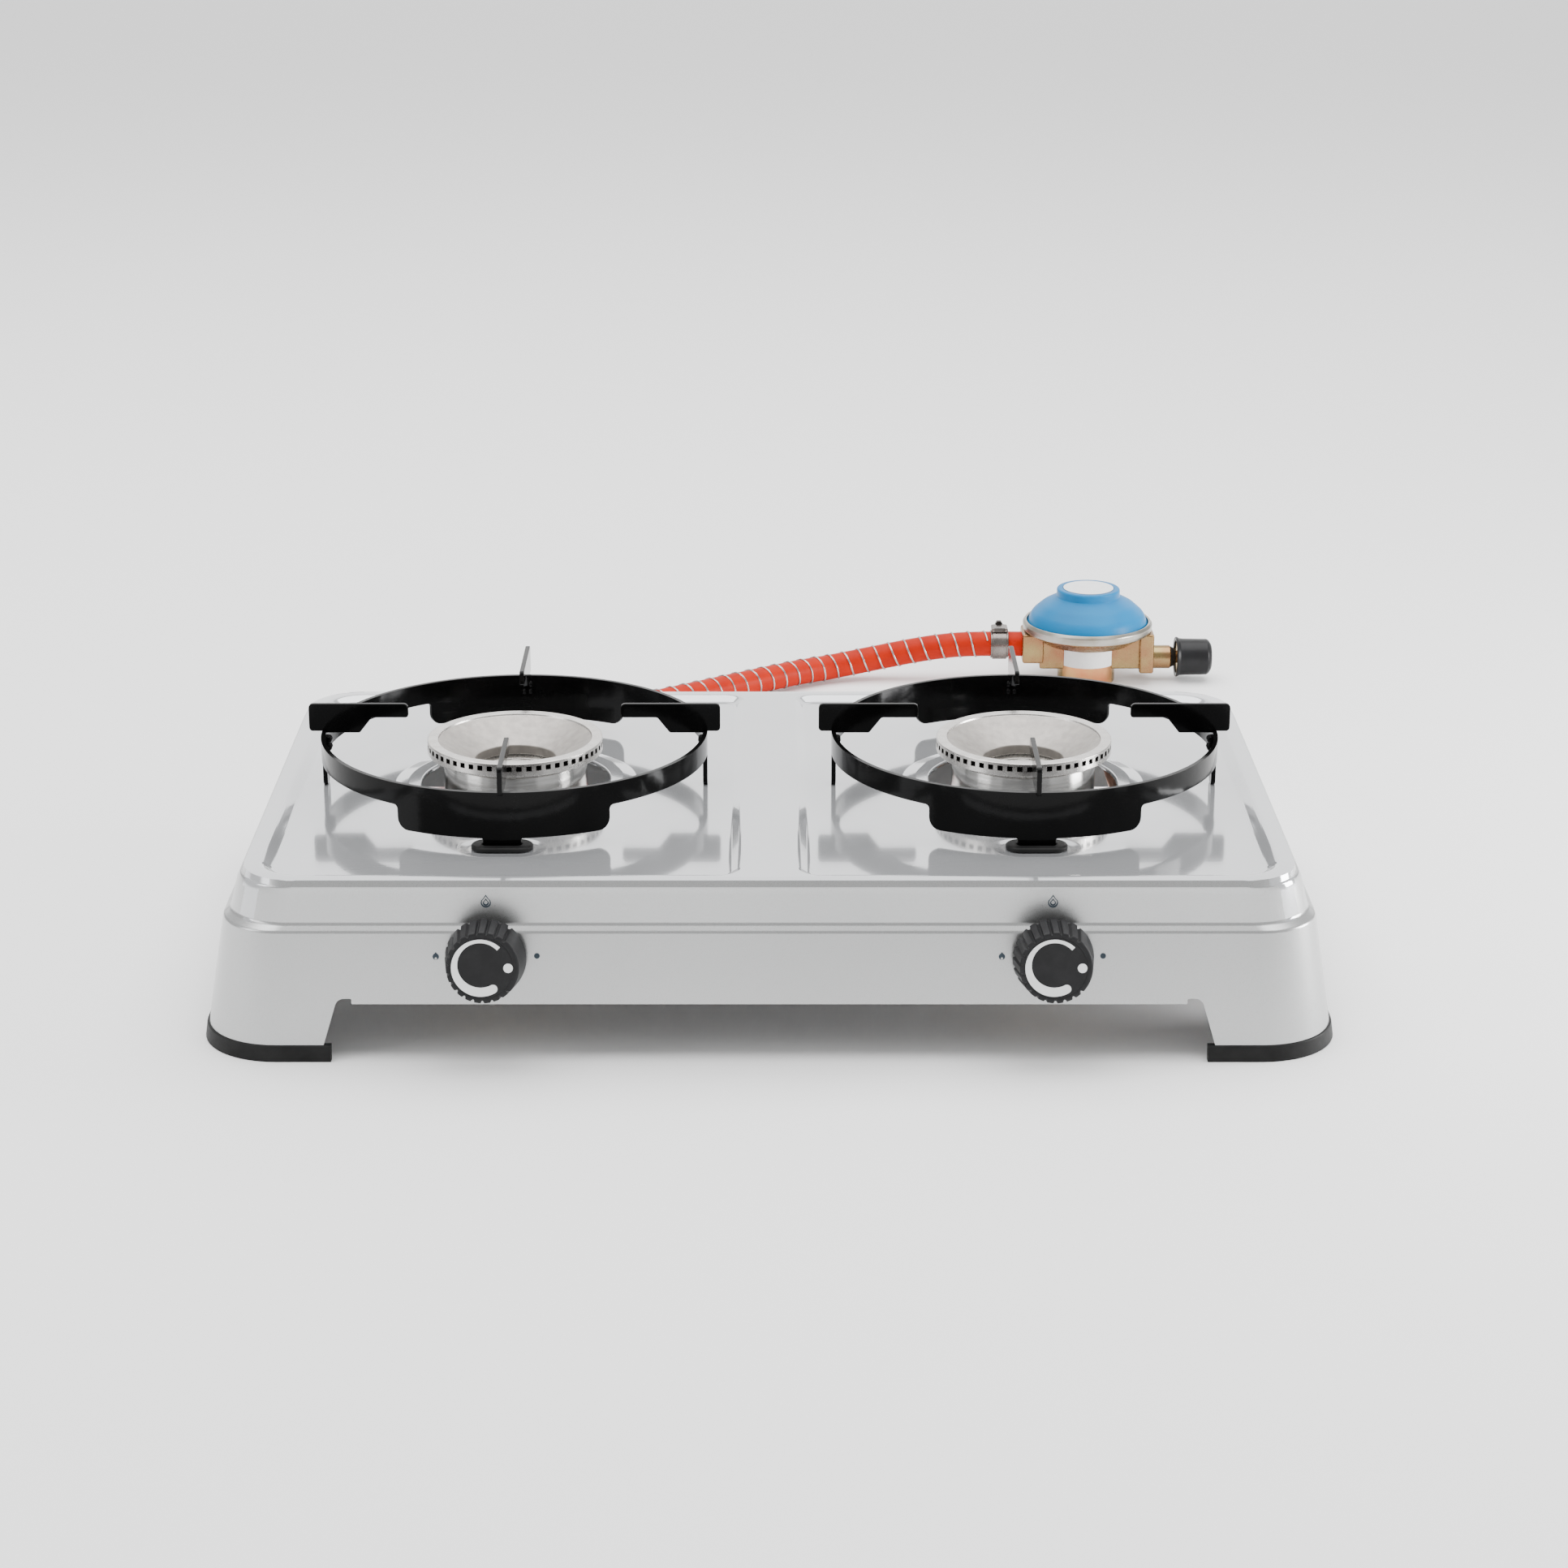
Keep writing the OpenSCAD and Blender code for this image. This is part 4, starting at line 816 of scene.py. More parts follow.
            # What lies past both ends is the corner, which is kept
            bmesh.ops.bisect_plane(bm, geom=bm.verts[:] + bm.edges[:] + bm.faces[:], plane_co=co,
                                   plane_no=no, clear_inner=True, clear_outer=False)
            bmesh.ops.holes_fill(bm, edges=[e for e in bm.edges if e.is_boundary], sides=0)
        bmesh.ops.recalc_face_normals(bm, faces=bm.faces)
        strip = Shape().take(bm)
        strip.finish(f"{name}_trim_strip", (RUBBER,), "stove", [f"{name}_foot_trim"], "rubber", 50.0)

    def grommets(self) -> None:
        """Build the four rubber grommets."""
        shape = Shape()
        half_w, half_d, reach = self.grommet_half_w, self.grommet_half_d, 3.25
        lip_z = -self.sheet - self.grommet_lip
        section = rounded([(0.0, lip_z), (1.5, lip_z), (1.5, -self.sheet - 0.02), (0, -self.sheet), (0, 0.0),
                           (reach, 0.0), (reach, 1.2), (2.4, 1.8), (-1.2, 1.8), (-1.6, 1.2), (-1.6, -2)],
                          [0, 0, 0, 0, 0, 0, 0.6, 0.6, 0.5, 0, 0], 3)
        for side in (-1, 1):
            for end in (-1, 1):
                x, y = side * self.burner_x, end * self.ring_r
                bm = bmesh.new()
                here = Outline(-half_w, half_w, -half_d, half_d, 3.9, 3.9)
                edges = here.start(bm, self.deck_z + lip_z, 8)
                for out, z in section[1:]:
                    depth = half_d + (2.5 * out / reach if out > 0 else out)
                    target = Outline(-half_w - out, half_w + out, -depth, depth, depth * 0.97, depth * 0.97)
                    edges = here.onward(bm, edges, target, self.deck_z + z)
                    here = target
                bmesh.ops.translate(bm, vec=(x, y, 0), verts=bm.verts)
                bmesh.ops.recalc_face_normals(bm, faces=bm.faces)
                shape.take(bm)
        shape.finish("tab_grommets", (RUBBER,), "stove", ["support_grommets"], "rubber", 40.0)


def knob_place(side: str) -> Matrix:
    """Where a knob's axis crosses the front wall: X to the right, Y up the wall, Z outwards."""
    joint = next(j for j in frame["joints"] if j["name"] == f"{side}_valve_turn")
    spot = Vector(joint["pos_m"]) / MM
    out = Vector(joint["axis"]).normalized()
    right = Vector((1, 0, 0))
    up = out.cross(right)
    return Matrix(((right.x, up.x, out.x, spot.x), (right.y, up.y, out.y, spot.y),
                   (right.z, up.z, out.z, spot.z), (0, 0, 0, 1)))


# ---------- pan supports ----------


@dataclass
class PanSupport:
    """A strip ring with four fingers, which lifts off the hob."""

    side: str
    strip_t: float = 2.0
    narrow: float = 9.8
    deep: float = 20.6
    deep_half: float = 47.4
    tab_half: float = 8.0
    leg_half: float = 4.0
    finger_t: float = 2.2

    def __post_init__(self) -> None:
        """Read the ring's place from the frame."""
        low, high = box_mm(f"{self.side}_pan_ring")
        self.low_z, self.top_z = low.z, high.z
        self.x = (low.x + high.x) / 2
        self.r = (high.x - low.x) / 2 - self.strip_t / 2
        low, high = box_mm(f"{self.side}_pan_fingers")
        self.finger_r = (high.x - low.x) / 2
        self.finger_z = high.z

    def strip(self) -> list[Point]:
        """Outline of the strip laid out flat: distance along it, and height."""
        quarter = self.r * math.pi / 2
        narrow_z, deep_z = self.top_z - self.narrow, self.top_z - self.deep
        leg_z = 74.1
        start = -0.7 * quarter
        below: list[Point] = [(start, narrow_z)]
        radii: list[float] = [0.0]
        for k in range(4):
            at = k * quarter
            if k % 2 == 0:
                below += [(at - self.deep_half, narrow_z), (at - self.deep_half, deep_z),
                          (at - self.tab_half, deep_z), (at - self.tab_half, self.low_z),
                          (at + self.tab_half, self.low_z), (at + self.tab_half, deep_z),
                          (at + self.deep_half, deep_z), (at + self.deep_half, narrow_z)]
                radii += [2.0, 6.0, 1.0, 2.0, 2.0, 1.0, 6.0, 2.0]
            else:
                below += [(at - self.leg_half, narrow_z), (at - self.leg_half, leg_z),
                          (at + self.leg_half, leg_z), (at + self.leg_half, narrow_z)]
                radii += [1.5, 3.0, 3.0, 1.5]
        below.append((start + 4 * quarter, narrow_z))
        radii.append(0.0)
        return rounded(below, radii, 5) + [(start + 4 * quarter, self.top_z), (start, self.top_z)]

    def ring(self) -> bmesh.types.BMesh:
        """Roll the strip into a ring and give it its thickness."""
        bm = bmesh.new()
        bm.faces.new([bm.verts.new((s, 0, z)) for s, z in self.strip()])
        start = -0.7 * self.r * math.pi / 2
        around = math.tau * self.r
        for k in range(1, 160):
            bmesh.ops.bisect_plane(bm, geom=bm.verts[:] + bm.edges[:] + bm.faces[:],
                                   plane_co=(start + around * k / 160, 0, 0), plane_no=(1, 0, 0))
        for vert in bm.verts:
            a = vert.co.x / self.r
            vert.co = (self.r * math.sin(a), -self.r * math.cos(a), vert.co.z)
        bmesh.ops.remove_doubles(bm, verts=bm.verts, dist=0.01)
        bmesh.ops.recalc_face_normals(bm, faces=bm.faces)
        return bm

    def build(self) -> None:
        """Build the ring and its fingers."""
        body = f"{self.side}_support"
        obj = Shape().take(self.ring()).move(self.x, 0, 0).finish(
            f"{self.side}_support_ring", (ENAMEL,), body, [f"{self.side}_pan_ring"], "support_enamel", 60.0)
        obj.modifiers.clear()
        wall = obj.modifiers.new("strip thickness", "SOLIDIFY")
        wall.thickness = self.strip_t * MM
        wall.offset = 0
        edge = obj.modifiers.new("enamel edge", "BEVEL")
        edge.width = 0.55 * MM
        edge.segments = 3
        edge.limit_method = "ANGLE"
        edge.angle_limit = math.radians(50)
        obj.modifiers.new("even shading", "WEIGHTED_NORMAL")
        narrow_z, deep_z = self.finger_z - 6.4, self.top_z - 0.8
        inner, ring_in = 47.5, self.r - self.strip_t / 2
        outline = rounded([(inner, narrow_z), (63.8, narrow_z), (69.4, deep_z), (ring_in + 0.3, deep_z),
                           (ring_in + 0.3, self.top_z), (self.finger_r, self.top_z),
                           (self.finger_r, self.finger_z), (inner, self.finger_z)],
                          [1.2, 1.5, 1.2, 0, 0, 1.6, 2.0, 2.0], 4, closed=True)
        fingers = Shape()
        for turn in range(4):
            one = Shape().prism(outline, -self.finger_t / 2, self.finger_t / 2).soften(0.6, 50, 3)
            bmesh.ops.recalc_face_normals(one.bm, faces=one.bm.faces)
            fingers.add(one.turn(90, "X").turn(90 * turn, "Z"))
            for z, tilt in ((self.top_z - 2.5, 0), (self.top_z - 6.0, 40)):
                for flank in (-1, 1):
                    bead = Shape().revolve(rounded([(0, 1.0), (1.5, 0.8), (1.9, 0.0), (1.5, -0.8),
                                                    (0, -1.0)], 0.4, 2), 12)
                    bead.turn(90, "X").move(ring_in - 0.5, flank * 1.4, z - 1.5)
                    fingers.add(bead.turn(90 * turn, "Z"))
        fingers.move(self.x, 0, 0).finish(f"{self.side}_support_fingers", (ENAMEL,), body,
                                          [f"{self.side}_pan_fingers"], "support_enamel", 40.0)


# ---------- burners ----------


@dataclass
class Burner:
    """Head, base ring, cup and bridge of one burner."""

    side: str
    ports: int = 56
    port_w: float = 2.4
    port_h: float = 2.3
    dish_r: float = 34.45
    hole_r: float = 18.0
    dish_depth: float = 9.8
    tube_z: float = 39.6

    def __post_init__(self) -> None:
        """Read the burner's place from the frame."""
        low, high = box_mm(f"{self.side}_burner_head")
        self.x, self.r, self.top = (low.x + high.x) / 2, (high.x - low.x) / 2, high.z
        low, high = box_mm(f"{self.side}_burner_cup")
        self.cup_r, self.cup_low, self.cup_top = (high.x - low.x) / 2, low.z, high.z
        self.under = box_mm(f"{self.side}_burner_base")[1].z

    def build(self) -> None:
        """Build every shown piece of the burner."""
        self.head()
        self.base()
        self.cup()
        self.bridge()

    def head(self) -> None:
        """Cast head with a machined rim and square flame ports."""
        top, r = self.top, self.r
        dish_z = top - self.dish_depth
        profile = rounded([(self.hole_r, dish_z - 4), (self.hole_r + 2, dish_z - 4),
                           (self.hole_r + 2, dish_z - 1.5), (self.dish_r - 2, top - 3.4),
                           (r - 2.4, top - 2.6), (r - 2.4, self.under), (r, self.under), (r, top),
                           (self.dish_r, top), (self.dish_r - 0.3, top - 0.8), (self.hole_r, dish_z),
                           (self.hole_r, dish_z - 4)],
                          [0, 0.5, 1.0, 1.0, 0, 0, 0, 0.5, 0.2, 0.3, 0.8, 0], 3)
        head = Shape().revolve(profile, 168)
        ports = Shape()
        for k in range(self.ports):
            slot = Shape().block((r - 4, -self.port_w / 2, self.under - 0.5),
                                 (r + 2, self.port_w / 2, self.under + self.port_h), 0, 2)
            ports.add(slot.turn(360 * k / self.ports, "Z"))
        head.carve(ports)
        # Faces inside the hollow under the dish take the near-black finish: painted shade.
        for face in head.bm.faces:
            centre = face.calc_center_median()
            out = centre.xy.length
            under_dish = centre.z < dish_z - 4 + (out - self.hole_r) * 0.69
            if self.hole_r + 1 < out < r - 2.3 and under_dish and face.normal.z < 0.5:
                face.material_index = 2
            elif face.material_index != 2:
                face.material_index = 1 if out > self.dish_r - 0.4 else 0
        head.move(self.x, 0, 0).finish(f"{self.side}_ported_head", (CAST, MACHINED, HOLLOW_SHADE), "stove",
                                       [f"{self.side}_burner_head"], "burner_alloy", 32.0)

    def base(self) -> None:
        """Machined base ring with the ledge that carries the bridge."""
        low, high = box_mm(f"{self.side}_burner_base")
        base_z, hole, spigot = self.cup_top, self.hole_r, self.cup_r - 1.2
        seat_z = self.top - self.dish_depth - 4
        floor_z = low.z + 3
        profile = rounded([(hole - 3, low.z), (hole + 1.4, low.z), (hole + 1.4, floor_z), (spigot, floor_z),
                           (spigot, base_z), (self.r, base_z), (self.r, high.z), (self.r - 2.4, high.z),
                           (self.r - 2.4, base_z + 1.2), (spigot + 0.5, base_z + 0.7),
                           (spigot - 2, base_z - 0.7), (spigot - 2, floor_z + 1.5),
                           (hole + 2.4, floor_z + 1.5), (hole + 2.4, seat_z), (hole - 0.5, seat_z),
                           (hole - 0.5, low.z + 1.5), (hole - 3, low.z + 1.5), (hole - 3, low.z)],
                          [0, 0.3, 0.3, 0.5, 0, 0.6, 0, 0, 0.4, 0.3, 0.3, 0.4, 0.2, 0, 0, 0.2, 0.2, 0], 3)
        base = Shape().revolve(profile, 128)
        base.carve(Shape().revolve(plug(4, floor_z - 1, floor_z + 3), 32, 1).move(0, -25, 0))
        # Faces inside the ring's hollow take the near-black finish: painted shade.
        for face in base.bm.faces:
            centre = face.calc_center_median()
            inside = hole + 2 < centre.xy.length < self.r - 2.5
            if inside and face.normal.z > -0.2 and centre.z > floor_z + 0.5:
                face.material_index = 1
        base.move(self.x, 0, 0).finish(f"{self.side}_base_ring", (MACHINED, HOLLOW_SHADE), "stove",
                                       [f"{self.side}_burner_base"], "burner_alloy", 35.0)

    def cup(self) -> None:
        """Drawn bright cup with a rolled lip and a pressed bead."""
        r, low, top = self.cup_r, self.cup_low, self.cup_top
        outside = rounded([(2.7, low), (r, low), (r, top - 3.0), (r - 0.35, top - 2.4), (r, top - 1.8),
                           (r, top)], [0, 3, 0.4, 0.4, 0.4, 0], 4)
        inside = rounded([(r - 1, top), (r - 1, low + 1), (2.7, low + 1), (2.7, low)], [0, 2, 0, 0], 4)
        cup = Shape().revolve(outside + inside, 128)
        cup.carve(Shape().revolve(plug(6.5, 0, 10), 48).along_y(0, -r - 2, self.tube_z))
        cup.move(self.x, 0, 0).finish(f"{self.side}_bright_cup", (CUP_STEEL,), "stove",
                                      [f"{self.side}_burner_cup"], "cup_steel", 35.0)

    def bridge(self) -> None:
        """Strap across the dish's hole, with a hole through its middle."""
        low, high = box_mm(f"{self.side}_burner_bridge")
        half = (high.x - low.x) / 2
        strap = Shape().block((-half, -5, low.z), (half, 5, high.z), 0.3)
        strap.carve(Shape().revolve(plug(2.7, low.z - 3, high.z + 3), 32))
        strap.move(self.x, 0, 0).finish(f"{self.side}_strap", (PLATED,), "stove",
                                        [f"{self.side}_burner_bridge"], "fixing_steel", 35.0)


# ---------- knobs ----------


@dataclass
class Knob:
    """A grooved knob; its printed marks stay as the frame has them."""

    side: str
    base_r: float = 17.0
    face_r: float = 15.0
    gap: float = 3.0
    length: float = 18.0
    grooves: int = 18
    pitch: float = 15.5
    first: float = 52.0
    groove_half: float = 2.6
    groove_depth: float = 1.1

    def build(self) -> None:
        """Build the knob, and dress its marks and spindle."""
        face = self.gap + self.length
        profile = rounded([(3, face - 3), (3, self.gap + 1), (6, self.gap + 1), (6, self.gap + 12),
                           (self.base_r - 3, self.gap + 12), (self.base_r - 2, self.gap),
                           (self.base_r, self.gap), (self.face_r, face - 0.3), (self.face_r - 0.8, face),
                           (13.1, face), (12.9, face - 0.18), (12.6, face - 0.18), (12.4, face), (0, face)],
                          [0, 0, 0, 0, 0, 0.3, 0.9, 1.2, 0.6, 0.1, 0, 0, 0.1, 0], 3)
        profile = [(0, face - 3)] + profile
        knob = Shape().revolve(profile, 288)
        for vert in knob.bm.verts:
            r = vert.co.xy.length
            share = (vert.co.z - self.gap) / self.length
            wall = self.base_r + (self.face_r - self.base_r) * share
            if r < wall - 1.6 or not 0 <= share:
                continue
            angle = math.degrees(math.atan2(vert.co.y, vert.co.x)) % 360
            near = min(abs((angle - self.first - k * self.pitch + 180) % 360 - 180)
                       for k in range(self.grooves))
            if near < self.groove_half:
                sink = self.groove_depth * math.sqrt(max(0.0, 1 - (near / self.groove_half) ** 2))
                vert.co.xy *= (r - sink) / r
        node = f"{self.side}_knob"
        knob.place(knob_place(self.side))
        knob.finish(f"{self.side}_grip", (KNOB,), node, [node], "knob_plastic", 50.0)
        dress(f"{node}_marks", WHITE)
        dress(f"{self.side}_spindle", PLATED)


# ---------- hose ----------


def carried(side: Vector | None, way: Vector) -> Vector:
    """A direction square to the way, carried on from the last one without twist."""
    across = way.cross(Vector((0, 0, 1))) if side is None else side - way * side.dot(way)
    return across.normalized()


@dataclass
class GasHose:
    """The free gas hose, its spiral wire and its clamps."""

    diameter: float = 14.0
    lie_z: float = 8.4
    wire_r: float = 0.5
    pitch: float = 8.9
    route: list[tuple[float, float, float]] = field(default_factory=list)

    def __post_init__(self) -> None:
        """Lay the route from the rear nozzle to the regulator."""
        low, high = box_mm("stove_hose_clamp")
        start = (low.x + high.x) / 2
        z = self.lie_z
        self.route = [
            (start, low.y - 3, 45), (165, 156, 45), (165, 170, 44), (163.5, 184, 41),
            (159, 198, 35.5), (151, 211, 28.5), (139.5, 221, 21), (125, 227.5, 15), (109, 230, 10.5),
            (92, 229, z), (60, 222.5, z), (30, 215.5, z), (0, 208, z), (-30, 200.5, z), (-60, 193, z),
            (-97, 184, z), (-120, 182, z), (-142.5, 189, z), (-160.5, 204.5, z), (-171, 225.5, z),
            (-172.5, 248.5, z), (-165, 271, z), (-150, 288.5, z), (-129, 299, z), (-103, 308, z),
            (-78, 320, z), (-60, 331, z), (-44, 342.5, z), (-22, 359, z), (0, 375, z),
            (18, 387.5, z), (32, 395.5, z), (46, 399.5, 10), (60, 401, 12.5), (76, 401, 15.8),
            (92, 400.5, 18.8), (107, 400.5, 20.5), (122, 400.5, 21), (142.5, 400.5, 21),
        ]

    def centreline(self, per_span: int = 6) -> list[Vector]:
        """Smooth the route into closely spaced points.

        Args:
            per_span: Points laid in each span.

        Returns:
            Points in millimetres.
        """
        p = [Vector(q) for q in self.route]
        p = [2 * p[0] - p[1]] + p + [2 * p[-1] - p[-2]]
        out = []
        for a, b, c, d in zip(p, p[1:], p[2:], p[3:]):
            for k in range(per_span):
                t = k / per_span
                out.append(0.5 * (2 * b + (c - a) * t + (2 * a - 5 * b + 4 * c - d) * t * t
                                  + (3 * b - a - 3 * c + d) * t ** 3))
        return out + [p[-2]]

    def tube(self, name: str, points: Sequence[Vector], radius: Callable[[float], float] | float, sides: int,
             finish: Finish) -> bpy.types.Object:
        """Sweep a round tube along points.

        Args:
            name: Name of the piece.
            points: Centre line, in millimetres.
            radius: Radius, or radius at a share of the length.
            sides: Facets round.
            finish: Its finish.

        Returns:
            The object.
        """
        shape = Shape()
        bm = shape.bm
        side = None
        rings = []
        for i, point in enumerate(points):
            way = (points[min(i + 1, len(points) - 1)] - points[max(i - 1, 0)]).normalized()
            side = carried(side, way)
            up = side.cross(way)
            r = radius(i / (len(points) - 1)) if callable(radius) else radius
            rings.append([bm.verts.new(point + (side * math.cos(math.tau * k / sides)
                                                + up * math.sin(math.tau * k / sides)) * r)
                          for k in range(sides)])
        for a, b in zip(rings, rings[1:]):
            for k in range(sides):
                bm.faces.new((a[k], a[(k + 1) % sides], b[(k + 1) % sides], b[k]))
        for end in (rings[0], rings[-1]):
            bm.faces.new(end)
        bmesh.ops.recalc_face_normals(bm, faces=bm.faces)
        return shape.finish(name, (finish,), "stove", sharp=60.0)

    def build(self, others: Sequence[str]) -> None:
        """Build the hose with all that is on it.

        Args:
            others: Names of the pieces that hang on its far end; not used.
        """
        line = self.centreline()
        steps = [0.0]
        for a, b in zip(line, line[1:]):
            steps.append(steps[-1] + (b - a).length)
        hose = self.tube("orange_hose", line, self.diameter / 2 - 0.02, 32, HOSE)
        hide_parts("gas_hose")
        wire = self.wire(line, steps)
        pieces = [wire] + [self.clamp(node) for node in ("stove_hose_clamp", "regulator_hose_clamp")]
        dress("clamp_screws", DARK_STEEL)

    def wire(self, line: list[Vector], steps: list[float]) -> bpy.types.Object:
        """Wind the steel wire round the hose.

        Args:
            line: Centre line of the hose.
            steps: Length along it at each point.

        Returns:
            The wire.
        """
        start, stop = 16.0, steps[-1] - 19.5
        reach = self.diameter / 2 + self.wire_r * 0.35
        count = int((stop - start) / self.pitch * 16)
        points = []
        side = None
        i = 0
        for k in range(count + 1):
            at = start + (stop - start) * k / count
            while steps[i + 1] < at:
                i += 1
            share = (at - steps[i]) / (steps[i + 1] - steps[i])
            spot = line[i].lerp(line[i + 1], share)
            way = (line[i + 1] - line[i]).normalized()
            side = carried(side, way)
            up = side.cross(way)
            turn = -math.tau * at / self.pitch
            points.append(spot + (side * math.cos(turn) + up * math.sin(turn)) * reach)
        obj = self.tube("hose_spiral_wire", points, self.wire_r, 6, WIRE)
        return obj

    def clamp(self, node: str) -> bpy.types.Object:
        """Build a band clamp in place of a CAD node.

        Args:
            node: The CAD node.

        Returns:
            The clamp.
        """
        low, high = box_mm(node)
        at_stove = node.startswith("stove")
        length = (high.y - low.y) if at_stove else (high.x - low.x)
        r = self.diameter / 2 + 0.03
        band = Shape().revolve(rounded([(r, 0), (r + 0.9, 0), (r + 0.9, length), (r, length), (r, 0)],
                                       [0, 0.35, 0.35, 0, 0], 3), 72)
        # The band's tail laps over itself, and the saddle carries the screw
        band.add(Shape().revolve(rounded([(r + 0.9, 1), (r + 1.6, 1), (r + 1.6, length - 1),
                                          (r + 0.9, length - 1)], [0, 0.3, 0.3, 0], 3), 72))
        saddle = Shape().block((-4.6, r + 0.6, 0.4), (4.6, r + 3.3, length - 0.4), 0.9)
        saddle.carve(Shape().block((-6, r + 1.4, 2), (6, r + 3.25, length - 2), 0.2))
        band.add(saddle)
        if at_stove:
            spot, turned = ((low.x + high.x) / 2, low.y, self.route[0][2]), 180
        else:
            spot, turned = (low.x, *self.route[-1][1:]), 90
        return band.turn(90, "X").turn(turned, "Z").move(*spot).finish(f"{node}_band", (CLAMP,), "stove",
                                                                       [node], "clamp_steel", 40.0)


# ---------- regulator ----------


@dataclass
class Regulator:
    """The domed regulator with its fittings, standing on the surface."""

    names: list[str] = field(default_factory=list)

    def __post_init__(self) -> None:
        """Read the regulator's place from the frame."""
        low, high = box_mm("regulator_crimp")
        self.x, self.y = (low.x + high.x) / 2, (low.y + high.y) / 2
        self.crimp_r, self.crimp_low, self.crimp_top = (high.x - low.x) / 2, low.z, high.z
        self.cap_z = box_mm("regulator_cap")[1].z
        self.body = box_mm("regulator_body")
        nut = box_mm("union_nut")
        self.neck_z = (nut[0].z + nut[1].z) / 2
        self.nut_x, self.nut_r, self.nut_end = nut[0].x, (nut[1].z - nut[0].z) / 2, nut[1].x

    def put(self, shape: Shape, name: str, finishes: Sequence[Finish], nodes: Sequence[str], slot: str,
            body: str = "stove", sharp: float = 35.0) -> None:
        """Finish a piece and note its name.

        Args:
            shape: The shape.
            name: Name of the piece.
            finishes: Its finishes.
            nodes: CAD nodes that it stands for.
            slot: Material slot of the record, which finish does not use.
            body: Body that it rides on.
            sharp: Edges sharper than this stay crisp.
        """
        self.names.append(shape.finish(name, finishes, body, nodes, slot, sharp).name)

    def build(self) -> list[str]:
        """Build the regulator.

        Returns:
            Names of its pieces.
        """
        self.casting()
        self.cap()
        self.crimp()
        self.fittings()
        for node, finish in (("regulator_diaphragm", RUBBER), ("regulator_spring", PLATED),
                             ("regulator_labels", WHITE), ("regulator_nozzle", ZINC), ("union_nut", BRASS)):
            dress(node, finish)
            self.names.append(node)
        return self.names

    def casting(self) -> None:
        """Bowl, foot, blocks and inlet neck of the body."""
        top = self.crimp_low + 1
        bowl = self.crimp_r - 2.62
        foot_r = 16.1
        body = Shape().revolve(rounded([(0, 0), (foot_r, 0), (foot_r, top - 7.6), (bowl - 9, top - 7.6),
                                        (bowl, top - 1.5), (bowl, top), (0, top)],
                                       [0, 1.2, 1.5, 3.0, 0.4, 0, 0], 4), 96)
        left = Shape().block((-37, -11, 12.4), (-25, 11, top - 1.2), 1.4)
        middle = Shape().block((-27, -8.5, 8.6), (31, 8.5, top - 0.4), 1.0)
        flange = Shape().block((29, -12, 6.8), (37, 12, top - 1), 1.2)
        neck = Shape().revolve(rounded([(0, 0), (6.6, 0), (6.6, 10.4), (3.5, 10.4), (3.5, 23.5), (6, 23.5),
                                        (6, 26), (0, 26)],
                                       [0, 0, 0.8, 0.5, 0.3, 0.3, 0.3, 0], 3), 64)
        neck.along_x(37, 0, self.neck_z)
        for part in (left, middle, flange, neck):
            body.carve(part, "UNION")
        body.carve(Shape().revolve(plug(4, 0, 9), 48).along_x(-38, 0, self.body_nozzle_z()))
        for face in body.bm.faces:
            centre = face.calc_center_median()
            on_foot = centre.xy.length < foot_r + 0.3 and centre.z < top - 8
            face.material_index = 1 if on_foot and abs(centre.y) > 8.4 else 0
        self.put(body.move(self.x, self.y, 0), "zinc_casting", (ZINC, ZINC_RED), ["regulator_body"],
                 "regulator_zinc")

    @staticmethod
    def body_nozzle_z() -> float:
        """Height of the hose's axis at the regulator."""
        low, high = box_mm("regulator_nozzle")
        return (low.z + high.z) / 2

    def cap(self) -> None:
        """Blue cap: a cone, a raised collar and the seat of its label."""
        rim, z, low = self.crimp_r - 2.6, self.cap_z, self.crimp_low + 2
        shoulder = z - 4.6
        outer = rounded([(14.2, z - 0.5), (14.4, z), (17.7, z), (17.7, shoulder), (19.2, shoulder - 0.9),
                         (25.5, shoulder - 4.2), (rim - 2.2, shoulder - 9.6), (rim, low + 2.2), (rim, low)],
                        [0, 0.3, 1.2, 0.8, 2.0, 14.0, 9.0, 1.5, 0], 5)
        inner = [(rim - 2, low), (rim - 8.6, low + 8.2), (17.6, shoulder - 2.2), (15.7, z - 2), (0, z - 2)]
        cap = Shape().revolve([(0, z - 0.5)] + outer + inner, 128)
        self.put(cap.move(self.x, self.y, 0), "blue_cap", (BLUE,), ["regulator_cap"], "cap_plastic")

    def crimp(self) -> None:
        """Rolled rim."""
        r, low, top = self.crimp_r, self.crimp_low, self.crimp_top
        mid = (low + top) / 2
        profile = rounded([(r - 2.6, low), (r - 0.6, low + 0.3), (r, low + 1.9), (r, top - 1.6),
                           (r - 1.2, top), (r - 2.3, top - 0.2), (r - 2.6, mid), (r - 2.6, low)],
                          [0, 0.8, 1.2, 1.2, 0.6, 0.5, 0, 0], 4)
        self.put(Shape().revolve(profile, 128).move(self.x, self.y, 0), "rolled_rim", (CRIMP,),
                 ["regulator_crimp"], "clamp_steel")

